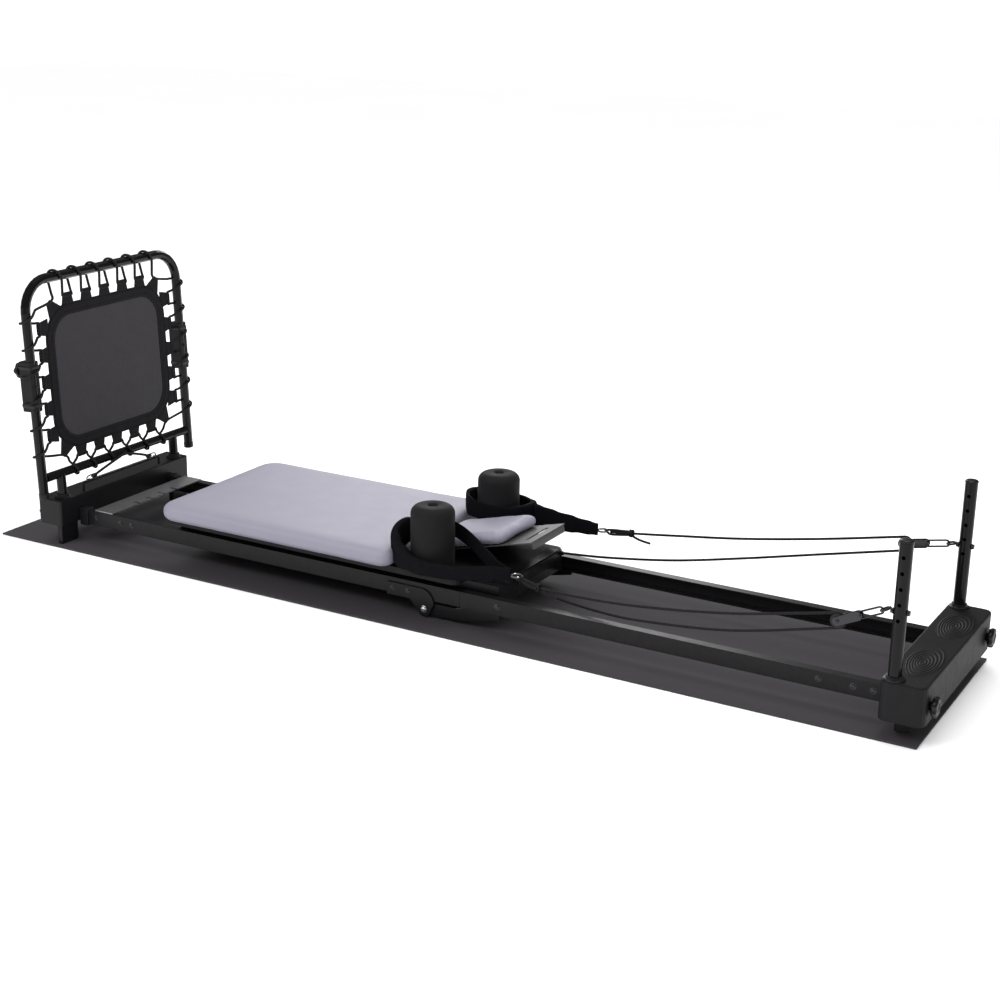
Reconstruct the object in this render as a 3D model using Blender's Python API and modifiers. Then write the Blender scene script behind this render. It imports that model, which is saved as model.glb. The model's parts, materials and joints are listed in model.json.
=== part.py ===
"""Folding home pilates reformer with a bungee-laced rebounder, at its real size.

+X runs from the rebounder (foot) end to the pulley (head) end, -Y is the near side and +Z is up.
The origin lies under the floor mat, midway between the frame's two end faces. All values are metres.
"""
import math

import bmesh
import bpy
from mathutils import Euler, Matrix, Vector

# Frame
FRAME_LENGTH = 2.35
BODY_WIDTH = 0.51
SEAT_GAP = 0.0003
RUNNING_GAP = 0.0004
CUT_PAST = 0.02
NEAR = -1
FAR = 1
SIDES = (("near", NEAR), ("far", FAR))

# Floor mat
MAT_THICKNESS = 0.004
MAT_WIDTH = 0.535
MAT_FOOT_OVERHANG = 0.125
MAT_HEAD_INSET = 0.006

# Rails: channels that open inward
RAIL_SPREAD = 0.368
RAIL_TOP = 0.085
RAIL_HEIGHT = 0.038
RAIL_FLANGE = 0.022
RAIL_WALL = 0.0025
RAIL_SPLIT = 0.060

# Foot box and its legs
FOOT_BOX_DEPTH = 0.077
FOOT_BOX_TOP = 0.123
FOOT_BOX_HEIGHT = 0.069
BOX_WALL = 0.0025
BOX_EDGE = 0.006
FOOT_LEG_DEPTH = 0.015
FOOT_LEG_WIDTH = 0.060
FOOT_LEG_INSET = 0.004
FOOT_LEG_TOP = 0.075
FOOT_LEG_EDGE = 0.0015

# Cord anchor plate
ANCHOR_DISTANCE = 0.048
ANCHOR_DEPTH = 0.060
ANCHOR_THICKNESS = 0.003
ANCHOR_NOTCHES = 4
ANCHOR_NOTCH_PITCH = 0.050
ANCHOR_NOTCH_WIDTH = 0.009
ANCHOR_NOTCH_DEPTH = 0.018

# Centre hinge and transport wheels
PIVOT_X = -0.034
PIVOT_Z = 0.024
HINGE_PLATE_THICKNESS = 0.004
HINGE_PLATE_LENGTH = 0.103
HINGE_PLATE_TOP = 0.074
HINGE_PLATE_BOTTOM = 0.043
HINGE_SHOULDER_RADIUS = 0.035
HINGE_SHOULDER_BACK = 0.009
HINGE_LOBE_ROOT = 0.040
HINGE_LOBE_RADIUS = 0.0175
HINGE_BOLT_RADIUS = 0.0045
HINGE_ARM_THICKNESS = 0.005
HINGE_ARM_RADIUS = 0.016
HINGE_ARM_LENGTH = 0.20
HINGE_ARM_DEPTH = 0.012
HINGE_ARM_STEP = 0.010
HINGE_ARM_INSET = 0.002
CENTRE_WHEEL_RADIUS = 0.0195
CENTRE_WHEEL_WIDTH = 0.013
CENTRE_WHEEL_GAP = 0.001
HINGE_BOLT_END = 0.003
WHEEL_EDGE = 0.0015

# Knobs on the end faces
KNOB_RADIUS = 0.0225
KNOB_THICKNESS = 0.018
KNOB_STEM_RADIUS = 0.005
KNOB_STEM_LENGTH = 0.010
KNOB_EDGE = 0.003
POST_KNOB_RADIUS = 0.018
POST_KNOB_HEIGHT = 0.0765

# Rebounder, drawn in its own upright plane and then leaned back
REBOUNDER_X = -1.120
REBOUNDER_LEAN = math.radians(2.7)
REBOUNDER_SPREAD = 0.576
REBOUNDER_TOP = 0.693
REBOUNDER_FOOT = 0.139
REBOUNDER_BEND = 0.078
TUBE_RADIUS = 0.0125
CROSSBAR_HEIGHT = 0.187
CROSSBAR_RADIUS = 0.0115
POST_SPREAD = 0.444
POST_RADIUS = 0.0125
POST_INSERT = 0.035
PANEL_WIDTH = 0.456
PANEL_BOTTOM = 0.241
PANEL_TOP = 0.620
PANEL_CORNER = 0.090
PANEL_THICKNESS = 0.004
LACE_RADIUS = 0.003
LACE_TURNS = 6
LACE_PITCH = 0.069
LACE_EYE_GAP = 0.008
LACE_CLEARANCE = 0.001
CLAMP_LOW = 0.365
CLAMP_HIGH = 0.495
CLAMP_DEPTH = 0.040
CLAMP_BACK = 0.0080
CLAMP_WALL = 0.0025
CLAMP_EDGE = 0.003
STAR_KNOB_HEIGHT = 0.470
STAR_KNOB_RADIUS = 0.021

# Bungee that holds the rebounder down
HOOK_BAR_RADIUS = 0.003
HOOK_BAR_SPREAD = 0.300
HOOK_BAR_RISE = 0.020
HOOK_BAR_FORWARD = 0.006
HOOK_BAR_CORNER = 0.004
BUNGEE_RADIUS = 0.0035
HOOK_SPREAD = 0.250
HOOK_SIZE = (0.010, 0.026, 0.010)
HOOK_FORWARD = 0.008
HOOK_EDGE = 0.002
HOOK_GAP = 0.002

# Head block and its feet
HEAD_BLOCK_DEPTH = 0.098
HEAD_BLOCK_TOP = 0.126
HEAD_BLOCK_HEIGHT = 0.086
HEAD_BLOCK_CORNER = 0.020
HEAD_BLOCK_WALL = 0.003
HEAD_BLOCK_EDGE = 0.004
HEAD_FOOT_RADIUS = 0.015
HEAD_FOOT_HEIGHT = 0.022
HEAD_FOOT_STEM_RADIUS = 0.009
HEAD_FOOT_EDGE = 0.002
HEAD_FOOT_SPREAD = 0.404
HEAD_FOOT_INSET = 0.057
HEAD_KNOB_SPREAD = 0.430
HEAD_KNOB_HEIGHT = 0.076

# Risers
RISER_SPREAD = 0.470
RISER_INSET = 0.072
RISER_RADIUS = 0.014
RISER_WALL = 0.002
RISER_TOP = 0.417
RISER_BOTTOM = 0.070
RISER_EDGE = 0.002
RISER_CAP = 0.006
RISER_HOLE_RADIUS = 0.0042
RISER_HOLE_TOP = 0.386
RISER_HOLE_PITCH = 0.033
RISER_HOLES = 5

# Pulleys on their links
EYE_HEIGHT = 0.2695
EYE_REACH = 0.030
EYE_PIN_RADIUS = 0.003
EYE_RING_RADIUS = 0.010
EYE_RING_WIRE = 0.0025
EYE_PIN_END = 0.006
LINK_WIRE = 0.0022
LINK_RADIUS = 0.007
LINK_SPAN = 0.040
LINK_GAP = 0.002
LINK_PIN_RADIUS = 0.002
SHEAVE_DISTANCE = 0.105
SHEAVE_RADIUS = 0.0155
SHEAVE_GROOVE_RADIUS = 0.0125
SHEAVE_WIDTH = 0.009
SHEAVE_LIP = 0.0008
SHEAVE_GROOVE_HALF = 0.0022
CHEEK_THICKNESS = 0.0016
CHEEK_HEIGHT = 0.016
CHEEK_LINK_END = 0.006
CHEEK_SHEAVE_END = 0.008
AXLE_RADIUS = 0.0025
AXLE_HEAD_RADIUS = 0.0045
AXLE_HEAD_PROUD = 0.001
PULLEY_DROP = {"near": math.radians(25.0), "far": math.radians(11.0)}
ROPE_RADIUS = 0.003
ROPE_STEP = 0.026
ROPE_WRAP = (100, -82)

# Carriage
CARRIAGE_FOOT = -0.800
PAD_LENGTH = 0.700
PAD_WIDTH = 0.490
PAD_BOTTOM = 0.1210
PAD_TOP = 0.165
PAD_CORNER = 0.048
PAD_HEAD_CORNER = 0.015
PAD_EDGE = 0.010
DECK_THICKNESS = 0.015
DECK_WIDTH = 0.410
DECK_HEAD = 0.165
DECK_NECK_WIDTH = 0.260
DECK_SHOULDER = 0.045
DECK_INSET = 0.012
DECK_CORNER = 0.020
DECK_NECK_CORNER = 0.015
FRAME_SPREAD = 0.314
FRAME_BEAM = 0.012
FRAME_BOTTOM = 0.056
FRAME_FOOT = -0.785
FRAME_HEAD = 0.150
FRAME_CORNER = 0.004
CARRIAGE_WHEEL_RADIUS = 0.0135
CARRIAGE_WHEEL_WIDTH = 0.013
WHEEL_AXLE_RADIUS = 0.004
WHEEL_AXLE_END = 0.0015
WHEEL_SIDE_PLAY = 0.0005
WHEEL_PLACES = (("foot", -0.740), ("head", 0.010))
REST_X = -0.031
REST_SPREAD = 0.310
REST_RADIUS = 0.052
REST_TOP = 0.2725
REST_DIMPLE = 0.012
REST_DIMPLE_DEPTH = 0.006
REST_EDGE = 0.020
HEADREST_PIVOT_X = -0.085
HEADREST_PIVOT_Z = 0.1275
HEADREST_TILT = math.radians(14.0)
HEADREST_LENGTH = 0.205
HEADREST_WIDTH = 0.192
HEADREST_THICKNESS = 0.030
HEADREST_CORNER = 0.030
HEADREST_REAR_CORNER = 0.012
PLATE_INSET = 0.012
PLATE_REACH = 0.080
PLATE_LIP = 0.019
PLATE_REAR = 0.002
PLATE_REAR_CORNER = 0.010
PLATE_THICKNESS = 0.003
STRAP_THICKNESS = 0.006
STRAP_WIDTH = 0.038
STRAP_LEVEL = 0.168
STRAP_GAP = 0.004
STRAP_START = 130
STRAP_END = 300
STRAP_TURN = (0.060, 0.3)
STRAP_TAIL = {"near": (0.190, -0.176, 0.150), "far": (0.236, 0.170, 0.168)}
RING_RADIUS = 0.012
RING_WIRE = 0.0025

# Free rope routes, from the strap's ring to the pulley and from the pulley to the carriage
ROPE_START = {
    "near": [(0.2250, -0.1760, 0.1390), (0.2620, -0.1770, 0.1330), (0.3600, -0.1830, 0.1340),
             (0.5200, -0.1960, 0.1480), (0.7400, -0.2150, 0.1840)],
    "far": [(0.2710, 0.1700, 0.1680), (0.3250, 0.1730, 0.1730), (0.4400, 0.1830, 0.1850),
            (0.6000, 0.1980, 0.2030), (0.7800, 0.2150, 0.2310)],
}
ROPE_END = {
    "near": [(0.7400, -0.2130, 0.1450), (0.5200, -0.1800, 0.1090), (0.4000, -0.1520, 0.0970),
             (0.2800, -0.1280, 0.0980), (0.1665, -0.1100, 0.1130)],
    "far": [(0.7800, 0.2130, 0.1940), (0.6000, 0.1930, 0.1560), (0.4400, 0.1650, 0.1290),
            (0.2800, 0.1340, 0.1150), (0.1665, 0.1100, 0.1130)],
}

# Places that follow from the sizes above
HALF_LENGTH = FRAME_LENGTH / 2
FOOT_BOX_FACE = -HALF_LENGTH + FOOT_BOX_DEPTH
HEAD_BLOCK_FACE = HALF_LENGTH - HEAD_BLOCK_DEPTH
FLOOR = MAT_THICKNESS + SEAT_GAP
WEB_OUTSIDE = RAIL_SPREAD / 2
RAIL_BOTTOM = RAIL_TOP - RAIL_HEIGHT
LEG_X = FOOT_BOX_FACE - BOX_WALL - FOOT_LEG_INSET / 2 - FOOT_LEG_DEPTH / 2
LEG_Y = BODY_WIDTH / 2 - FOOT_LEG_INSET - FOOT_LEG_WIDTH / 2
FOLD_X = LEG_X - FOOT_LEG_DEPTH / 2
DECK_BOTTOM = PAD_BOTTOM - SEAT_GAP - DECK_THICKNESS
WHEEL_Y = WEB_OUTSIDE - RAIL_WALL - RAIL_FLANGE / 2 + WHEEL_SIDE_PLAY
WHEEL_Z = RAIL_BOTTOM + RAIL_WALL + CARRIAGE_WHEEL_RADIUS + SEAT_GAP
RISER_X = HALF_LENGTH - RISER_INSET
RISER_Y = RISER_SPREAD / 2
REST_Y = REST_SPREAD / 2
LACE_OFFSET = TUBE_RADIUS + LACE_RADIUS + LACE_CLEARANCE

PARTS = bpy.data.collections.new("pilates_reformer")
CUTTERS = bpy.data.collections.new("cutters")

STEEL = ("steel", (0.018, 0.018, 0.020), 0.35, 0.6)
CHROME = ("chrome", (0.72, 0.72, 0.74), 0.12, 1.0)
ZINC = ("zinc", (0.42, 0.42, 0.44), 0.35, 0.9)
DARK_STEEL = ("dark_steel", (0.050, 0.050, 0.054), 0.30, 0.9)
PLASTIC = ("plastic", (0.016, 0.016, 0.018), 0.55, 0.0)
RUBBER = ("rubber", (0.020, 0.020, 0.022), 0.85, 0.0)
FOAM = ("foam", (0.022, 0.022, 0.024), 0.75, 0.0)
MAT_VINYL = ("mat_vinyl", (0.030, 0.028, 0.031), 0.80, 0.0)
UPHOLSTERY = ("upholstery", (0.42, 0.39, 0.50), 0.55, 0.0)
MESH_FABRIC = ("mesh_fabric", (0.050, 0.048, 0.054), 0.70, 0.0)
WEBBING = ("webbing", (0.014, 0.013, 0.018), 0.85, 0.0)
ROPE = ("rope", (0.012, 0.012, 0.013), 0.80, 0.0)


def start():
    """Remove the scene's objects and add the model's two collections."""
    for item in list(bpy.data.objects):
        bpy.data.objects.remove(item, do_unlink=True)
    for group in (PARTS, CUTTERS):
        bpy.context.scene.collection.children.link(group)


def material(finish):
    """The Principled material of one finish, made once."""
    name, colour, roughness, metallic = finish
    if name in bpy.data.materials:
        return bpy.data.materials[name]
    made = bpy.data.materials.new(name)
    made.use_nodes = True
    shader = made.node_tree.nodes["Principled BSDF"]
    shader.inputs["Base Color"].default_value = (*colour, 1.0)
    shader.inputs["Roughness"].default_value = roughness
    shader.inputs["Metallic"].default_value = metallic
    return made


def shade(mesh):
    """Smooth shading with sharp edges kept."""
    mesh.shade_smooth()
    mesh.set_sharp_from_angle(angle=math.radians(35))


def add_mesh(name, work, finish, place=(0, 0, 0), turn=(0, 0, 0)):
    """Link a bmesh as one named part."""
    bmesh.ops.recalc_face_normals(work, faces=work.faces)
    mesh = bpy.data.meshes.new(name)
    work.to_mesh(mesh)
    work.free()
    shade(mesh)
    part = bpy.data.objects.new(name, mesh)
    part.location = place
    part.rotation_euler = turn
    if finish is None:
        part.hide_render = True
        part.display_type = "WIRE"
        CUTTERS.objects.link(part)
    else:
        mesh.materials.append(material(finish))
        PARTS.objects.link(part)
    return part


def block(name, size, place, finish, edge=0.0, turn=(0, 0, 0)):
    """A box with bevelled edges."""
    work = bmesh.new()
    bmesh.ops.create_cube(work, size=1.0, matrix=Matrix.Diagonal((*size, 1.0)))
    if edge:
        bmesh.ops.bevel(work, geom=work.edges[:], offset=edge, segments=2, affect="EDGES", profile=0.5)
    return add_mesh(name, work, finish, place, turn)


def rod(name, radius, length, place, finish, axis="Z", segments=24):
    """A plain cylinder along a world axis."""
    work = bmesh.new()
    bmesh.ops.create_cone(work, cap_ends=True, segments=segments, radius1=radius, radius2=radius,
                          depth=length)
    turn = {"Z": (0, 0, 0), "X": (0, math.pi / 2, 0), "Y": (math.pi / 2, 0, 0)}[axis]
    bmesh.ops.rotate(work, verts=work.verts, matrix=Euler(turn).to_matrix())
    return add_mesh(name, work, finish, place)


def ring(name, radius, wire, place, finish, turn=(0, 0, 0), segments=20, sides=8):
    """A closed round ring, made by turning a circle about Z."""
    work = bmesh.new()
    circle = [
        work.verts.new((radius + wire * math.cos(a), 0, wire * math.sin(a)))
        for a in (2 * math.pi * i / sides for i in range(sides))
    ]
    edges = [work.edges.new((circle[i], circle[(i + 1) % sides])) for i in range(sides)]
    bmesh.ops.spin(work, geom=circle + edges, cent=(0, 0, 0), axis=(0, 0, 1), angle=2 * math.pi,
                   steps=segments, use_merge=True)
    bmesh.ops.remove_doubles(work, verts=work.verts, dist=0.00001)
    return add_mesh(name, work, finish, place, turn)


def turned(name, profile, place, finish, turn=(0, 0, 0), segments=24):
    """A profile of (radius, height) points, from the top down its outer side, turned about Z."""
    mesh = bpy.data.meshes.new(name)
    points = [(radius, 0, height) for radius, height in profile]
    mesh.from_pydata(points, [(i, i + 1) for i in range(len(points) - 1)], [])
    part = bpy.data.objects.new(name, mesh)
    part.location = place
    part.rotation_euler = turn
    screw = part.modifiers.new("turn", "SCREW")
    screw.steps = segments
    screw.render_steps = segments
    screw.use_merge_vertices = True
    screw.merge_threshold = 0.00002
    screw.use_smooth_shade = True
    mesh.materials.append(material(finish))
    PARTS.objects.link(part)
    return part


def curve_mesh(name, curve, finish, place=(0, 0, 0), turn=(0, 0, 0)):
    """Turn a curve into a welded mesh part."""
    holder = bpy.data.objects.new(name + "_curve", curve)
    bpy.context.scene.collection.objects.link(holder)
    graph = bpy.context.evaluated_depsgraph_get()
    mesh = bpy.data.meshes.new_from_object(holder.evaluated_get(graph))
    bpy.data.objects.remove(holder, do_unlink=True)
    work = bmesh.new()
    work.from_mesh(mesh)
    bmesh.ops.remove_doubles(work, verts=work.verts, dist=0.00002)
    bpy.data.meshes.remove(mesh)
    return add_mesh(name, work, finish, place, turn)


def outline(name, loops, thickness, finish, place=(0, 0, 0), turn=(0, 0, 0)):
    """A flat closed outline, with holes as further loops, given its thickness about its plane."""
    curve = bpy.data.curves.new(name, "CURVE")
    curve.dimensions = "2D"
    curve.fill_mode = "BOTH"
    curve.extrude = thickness / 2
    for loop in loops:
        spline = curve.splines.new("POLY")
        spline.points.add(len(loop) - 1)
        for point, (u, v) in zip(spline.points, loop):
            point.co = (u, v, 0, 1)
        spline.use_cyclic_u = True
    return curve_mesh(name, curve, finish, place, turn)


def tube(name, points, radius, finish, place=(0, 0, 0), turn=(0, 0, 0), resolution=2, cyclic=False):
    """A round bar or cord along points."""
    curve = bpy.data.curves.new(name, "CURVE")
    curve.dimensions = "3D"
    curve.bevel_depth = radius
    curve.bevel_resolution = resolution
    curve.use_fill_caps = not cyclic
    spline = curve.splines.new("POLY")
    spline.points.add(len(points) - 1)
    for point, spot in zip(spline.points, points):
        point.co = (*spot, 1)
    spline.use_cyclic_u = cyclic
    return curve_mesh(name, curve, finish, place, turn)


def combine(part, tool, operation):
    """Join a tool to a part, or cut it out of it, and keep the result on the part."""
    step = part.modifiers.new(operation.lower(), "BOOLEAN")
    step.operation = operation
    step.solver = "EXACT"
    step.object = tool
    if operation == "UNION":
        bpy.context.view_layer.update()
        graph = bpy.context.evaluated_depsgraph_get()
        mesh = bpy.data.meshes.new_from_object(part.evaluated_get(graph))
        part.modifiers.clear()
        part.data = mesh
        bpy.data.objects.remove(tool, do_unlink=True)
    return part


def empty(name, place, turn=(0, 0, 0)):
    """A joint's place."""
    holder = bpy.data.objects.new(name, None)
    holder.location = place
    holder.rotation_euler = turn
    PARTS.objects.link(holder)
    return holder


def hang(holder, parts):
    """Parent parts to an unturned empty without moving them."""
    for part in parts:
        part.parent = holder
        part.location = Vector(part.location) - Vector(holder.location)


def lean(holder, parts):
    """Parent parts drawn in a tilted plane to the empty that tilts it."""
    for part in parts:
        part.parent = holder


def arc(centre, radius, start, end, steps):
    """Points along an arc in a plane, angles in degrees."""
    return [
        (centre[0] + radius * math.cos(math.radians(start + (end - start) * i / steps)),
         centre[1] + radius * math.sin(math.radians(start + (end - start) * i / steps)))
        for i in range(steps + 1)
    ]


def rounded(low, high, radii, steps=5):
    """A rectangle with its own radius at each corner: low-low, high-low, high-high, low-high."""
    corners = (
        (low[0] + radii[0], low[1] + radii[0], 180), (high[0] - radii[1], low[1] + radii[1], 270),
        (high[0] - radii[2], high[1] - radii[2], 0), (low[0] + radii[3], high[1] - radii[3], 90),
    )
    points = []
    for (cx, cy, angle), radius in zip(corners, radii):
        points += arc((cx, cy), radius, angle, angle + 90, steps)
    return points


def smooth_route(points, spacing):
    """Even points along a smooth curve through the route's own points."""
    spots = [Vector(p) for p in points]
    spots = [2 * spots[0] - spots[1]] + spots + [2 * spots[-1] - spots[-2]]
    dense = []
    for i in range(1, len(spots) - 2):
        before, here, after, beyond = spots[i - 1:i + 3]
        for step in range(24):
            t = step / 24
            dense.append(0.5 * (2 * here + (after - before) * t
                                + (2 * before - 5 * here + 4 * after - beyond) * t ** 2
                                + (3 * here - before - 3 * after + beyond) * t ** 3))
    dense.append(spots[-2])
    lengths = [0.0]
    for a, b in zip(dense, dense[1:]):
        lengths.append(lengths[-1] + (b - a).length)
    count = max(2, round(lengths[-1] / spacing))
    route = []
    k = 0
    for i in range(count + 1):
        target = lengths[-1] * i / count
        while k < len(lengths) - 2 and lengths[k + 1] < target:
            k += 1
        share = (target - lengths[k]) / (lengths[k + 1] - lengths[k])
        route.append(tuple(dense[k].lerp(dense[k + 1], share)))
    return route


UPRIGHT = (math.pi / 2, 0, 0)
ALONG_X = (math.pi / 2, 0, math.pi / 2)


def floor_mat():
    """The thin sheet under the whole machine."""
    low = -HALF_LENGTH - MAT_FOOT_OVERHANG
    high = HALF_LENGTH - MAT_HEAD_INSET
    size = (high - low, MAT_WIDTH, MAT_THICKNESS)
    return block("floor_mat", size, ((low + high) / 2, 0, MAT_THICKNESS / 2), MAT_VINYL)


def rail(name, side, start_x, end_x):
    """One rail channel, its open side towards the carriage."""
    web = WEB_OUTSIDE
    tip = web - RAIL_FLANGE
    inner = web - RAIL_WALL
    low, high = RAIL_BOTTOM, RAIL_TOP
    points = [(tip, low), (web, low), (web, high), (tip, high), (tip, high - RAIL_WALL),
              (inner, high - RAIL_WALL), (inner, low + RAIL_WALL), (tip, low + RAIL_WALL)]
    shape = [(side * y, z) for y, z in points]
    return outline(name, [shape], end_x - start_x, STEEL, ((start_x + end_x) / 2, 0, 0), ALONG_X)


def open_shell(name, size, place, wall, corner, edge, finish):
    """A box cover that is open underneath, with rounded upright corners and a softened top."""
    work = bmesh.new()
    bmesh.ops.create_cube(work, size=1.0, matrix=Matrix.Diagonal((*size, 1.0)))
    upright = [e for e in work.edges if abs(e.verts[0].co.z - e.verts[1].co.z) > size[2] / 2]
    bmesh.ops.bevel(work, geom=upright, offset=corner, segments=4, affect="EDGES", profile=0.5)
    bottom = [f for f in work.faces if f.normal.z < -0.9]
    bmesh.ops.delete(work, geom=bottom, context="FACES_ONLY")
    part = add_mesh(name, work, finish, place)
    soften = part.modifiers.new("soften", "BEVEL")
    soften.limit_method = "ANGLE"
    soften.angle_limit = math.radians(60)
    soften.width = edge
    soften.segments = 2
    skin = part.modifiers.new("wall", "SOLIDIFY")
    skin.thickness = wall
    skin.offset = -1
    return part


def foot_box():
    """The steel cover across the foot end, with holes for the rebounder's posts and their knobs."""
    place = (-HALF_LENGTH + FOOT_BOX_DEPTH / 2, 0, FOOT_BOX_TOP - FOOT_BOX_HEIGHT / 2)
    part = open_shell("foot_box", (FOOT_BOX_DEPTH, BODY_WIDTH, FOOT_BOX_HEIGHT), place,
                      BOX_WALL, BOX_EDGE, BOX_EDGE / 2, STEEL)
    for label, side in SIDES:
        cutter = rod(f"post_hole_{label}", POST_RADIUS + 2 * RUNNING_GAP, 2 * CUT_PAST,
                     (REBOUNDER_X, side * POST_SPREAD / 2, FOOT_BOX_TOP), None)
        combine(part, cutter, "DIFFERENCE")
        cutter = rod(f"post_knob_hole_{label}", KNOB_STEM_RADIUS + RUNNING_GAP, CUT_PAST,
                     (-HALF_LENGTH, side * POST_SPREAD / 2, POST_KNOB_HEIGHT), None, "X", 16)
        combine(part, cutter, "DIFFERENCE")
    return part


def foot_leg(label, side):
    """One flat leg under the foot box, on its rubber sole."""
    size = (FOOT_LEG_DEPTH, FOOT_LEG_WIDTH, FOOT_LEG_TOP - FLOOR)
    return block(f"foot_leg_{label}", size, (LEG_X, side * LEG_Y, (FOOT_LEG_TOP + FLOOR) / 2),
                 STEEL, FOOT_LEG_EDGE)


def cord_anchor_plate():
    """The plate across the rails, with open notches that the resistance cords hook into."""
    low = FOOT_BOX_FACE + ANCHOR_DISTANCE
    high = low + ANCHOR_DEPTH
    half = WEB_OUTSIDE - RAIL_WALL
    points = [(low, -half), (high, -half)]
    for i in range(ANCHOR_NOTCHES):
        y = (i - (ANCHOR_NOTCHES - 1) / 2) * ANCHOR_NOTCH_PITCH
        root = (high - ANCHOR_NOTCH_DEPTH, y)
        points.append((high, y - ANCHOR_NOTCH_WIDTH / 2))
        points += arc(root, ANCHOR_NOTCH_WIDTH / 2, 270, 90, 6)
        points.append((high, y + ANCHOR_NOTCH_WIDTH / 2))
    points += [(high, half), (low, half)]
    level = RAIL_TOP + SEAT_GAP + ANCHOR_THICKNESS / 2
    return outline("cord_anchor_plate", [points], ANCHOR_THICKNESS, ZINC, (0, 0, level))


def hinge_plate(label, side):
    """The side plate of the centre hinge, with the bolt that the arm and the wheel turn on."""
    left = PIVOT_X - HINGE_PLATE_LENGTH
    centre = (PIVOT_X - HINGE_SHOULDER_BACK, HINGE_PLATE_TOP - HINGE_SHOULDER_RADIUS)
    points = [(left, HINGE_PLATE_BOTTOM), (left, HINGE_PLATE_TOP)]
    points += arc(centre, HINGE_SHOULDER_RADIUS, 90, 0, 8)
    points += arc((PIVOT_X, PIVOT_Z), HINGE_LOBE_RADIUS, -15, -150, 8)
    points.append((PIVOT_X - HINGE_LOBE_ROOT, HINGE_PLATE_BOTTOM))
    outer = WEB_OUTSIDE + SEAT_GAP + HINGE_PLATE_THICKNESS / 2
    part = outline(f"hinge_plate_{label}", [points], HINGE_PLATE_THICKNESS, STEEL, (0, side * outer, 0),
                   UPRIGHT)
    inner = wheel_offset() - CENTRE_WHEEL_WIDTH / 2 - HINGE_BOLT_END
    bolt = rod("bolt", HINGE_BOLT_RADIUS, outer - inner,
               (PIVOT_X, side * (outer + inner) / 2, PIVOT_Z), STEEL, "Y", 16)
    return combine(part, bolt, "UNION")


def wheel_offset():
    """Distance of a centre wheel's middle from the machine's middle plane."""
    return WEB_OUTSIDE - HINGE_ARM_INSET - HINGE_ARM_THICKNESS - CENTRE_WHEEL_GAP - CENTRE_WHEEL_WIDTH / 2


def hinge_arm(label, side):
    """The arm from the hinge bolt, below the foot rail, to the underside of the head rail."""
    end = PIVOT_X + HINGE_ARM_LENGTH
    seat = RAIL_BOTTOM - SEAT_GAP
    top = PIVOT_Z + HINGE_ARM_RADIUS
    outer = [(PIVOT_X, top), (RAIL_SPLIT - HINGE_ARM_STEP, top), (RAIL_SPLIT + HINGE_ARM_STEP, seat),
             (end, seat), (end, seat - HINGE_ARM_DEPTH), (RAIL_SPLIT, PIVOT_Z - HINGE_ARM_DEPTH)]
    outer += arc((PIVOT_X, PIVOT_Z), HINGE_ARM_RADIUS, 270, 100, 8)
    hole = arc((PIVOT_X, PIVOT_Z), HINGE_BOLT_RADIUS + RUNNING_GAP, 0, 345, 23)
    middle = side * (WEB_OUTSIDE - HINGE_ARM_INSET - HINGE_ARM_THICKNESS / 2)
    return outline(f"hinge_arm_{label}", [outer, hole], HINGE_ARM_THICKNESS, STEEL, (0, middle, 0),
                   UPRIGHT)


def wheel(name, radius, width, bore, place, finish):
    """A wheel with a bore and softened rims, turning about Y."""
    edge = WHEEL_EDGE
    half = width / 2
    profile = [(bore, half), (radius - edge, half), (radius, half - edge), (radius, edge - half),
               (radius - edge, -half), (bore, -half), (bore, half)]
    return turned(name, profile, place, finish, UPRIGHT)


def knob(name, radius, place, facing, reach=KNOB_STEM_LENGTH):
    """A round hand knob with a stem of a given reach, turning about X; facing is where its face looks."""
    edge = KNOB_EDGE
    profile = [(0, KNOB_THICKNESS), (radius - edge, KNOB_THICKNESS), (radius, KNOB_THICKNESS - edge),
               (radius, edge), (radius - edge, SEAT_GAP), (KNOB_STEM_RADIUS, SEAT_GAP),
               (KNOB_STEM_RADIUS, -reach), (0, -reach)]
    return turned(name, profile, place, PLASTIC, (0, facing * math.pi / 2, 0))


def rebounder_frame():
    """The bent tube round the rebounder."""
    half = REBOUNDER_SPREAD / 2
    bend = REBOUNDER_BEND
    left = arc((-half + bend, REBOUNDER_TOP - bend), bend, 180, 90, 8)
    right = arc((half - bend, REBOUNDER_TOP - bend), bend, 90, 0, 8)
    path = [(-half, REBOUNDER_FOOT)] + left + right + [(half, REBOUNDER_FOOT)]
    points = [(0, y, z - FOOT_BOX_TOP) for y, z in path]
    return tube("rebounder_frame", points, TUBE_RADIUS, STEEL, resolution=3)


def rebounder_crossbar():
    """The lower bar with the two posts that plug into the foot box."""
    level = CROSSBAR_HEIGHT - FOOT_BOX_TOP
    length = REBOUNDER_SPREAD - 2 * TUBE_RADIUS - 2 * SEAT_GAP
    part = rod("rebounder_crossbar", CROSSBAR_RADIUS, length, (0, 0, level), STEEL, "Y", 16)
    for _, side in SIDES:
        post = rod("post", POST_RADIUS, level + POST_INSERT,
                   (0, side * POST_SPREAD / 2, (level - POST_INSERT) / 2), STEEL, "Z", 16)
        combine(part, post, "UNION")
    return part


def rebounder_mat():
    """The jumping panel inside the frame, out to the edge of its sewn border."""
    low = (-PANEL_WIDTH / 2, PANEL_BOTTOM - FOOT_BOX_TOP)
    high = (PANEL_WIDTH / 2, PANEL_TOP - FOOT_BOX_TOP)
    points = rounded(low, high, (PANEL_CORNER,) * 4, 6)
    return outline("rebounder_mat", [points], PANEL_THICKNESS, MESH_FABRIC, (0, 0, 0), ALONG_X)


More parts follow.
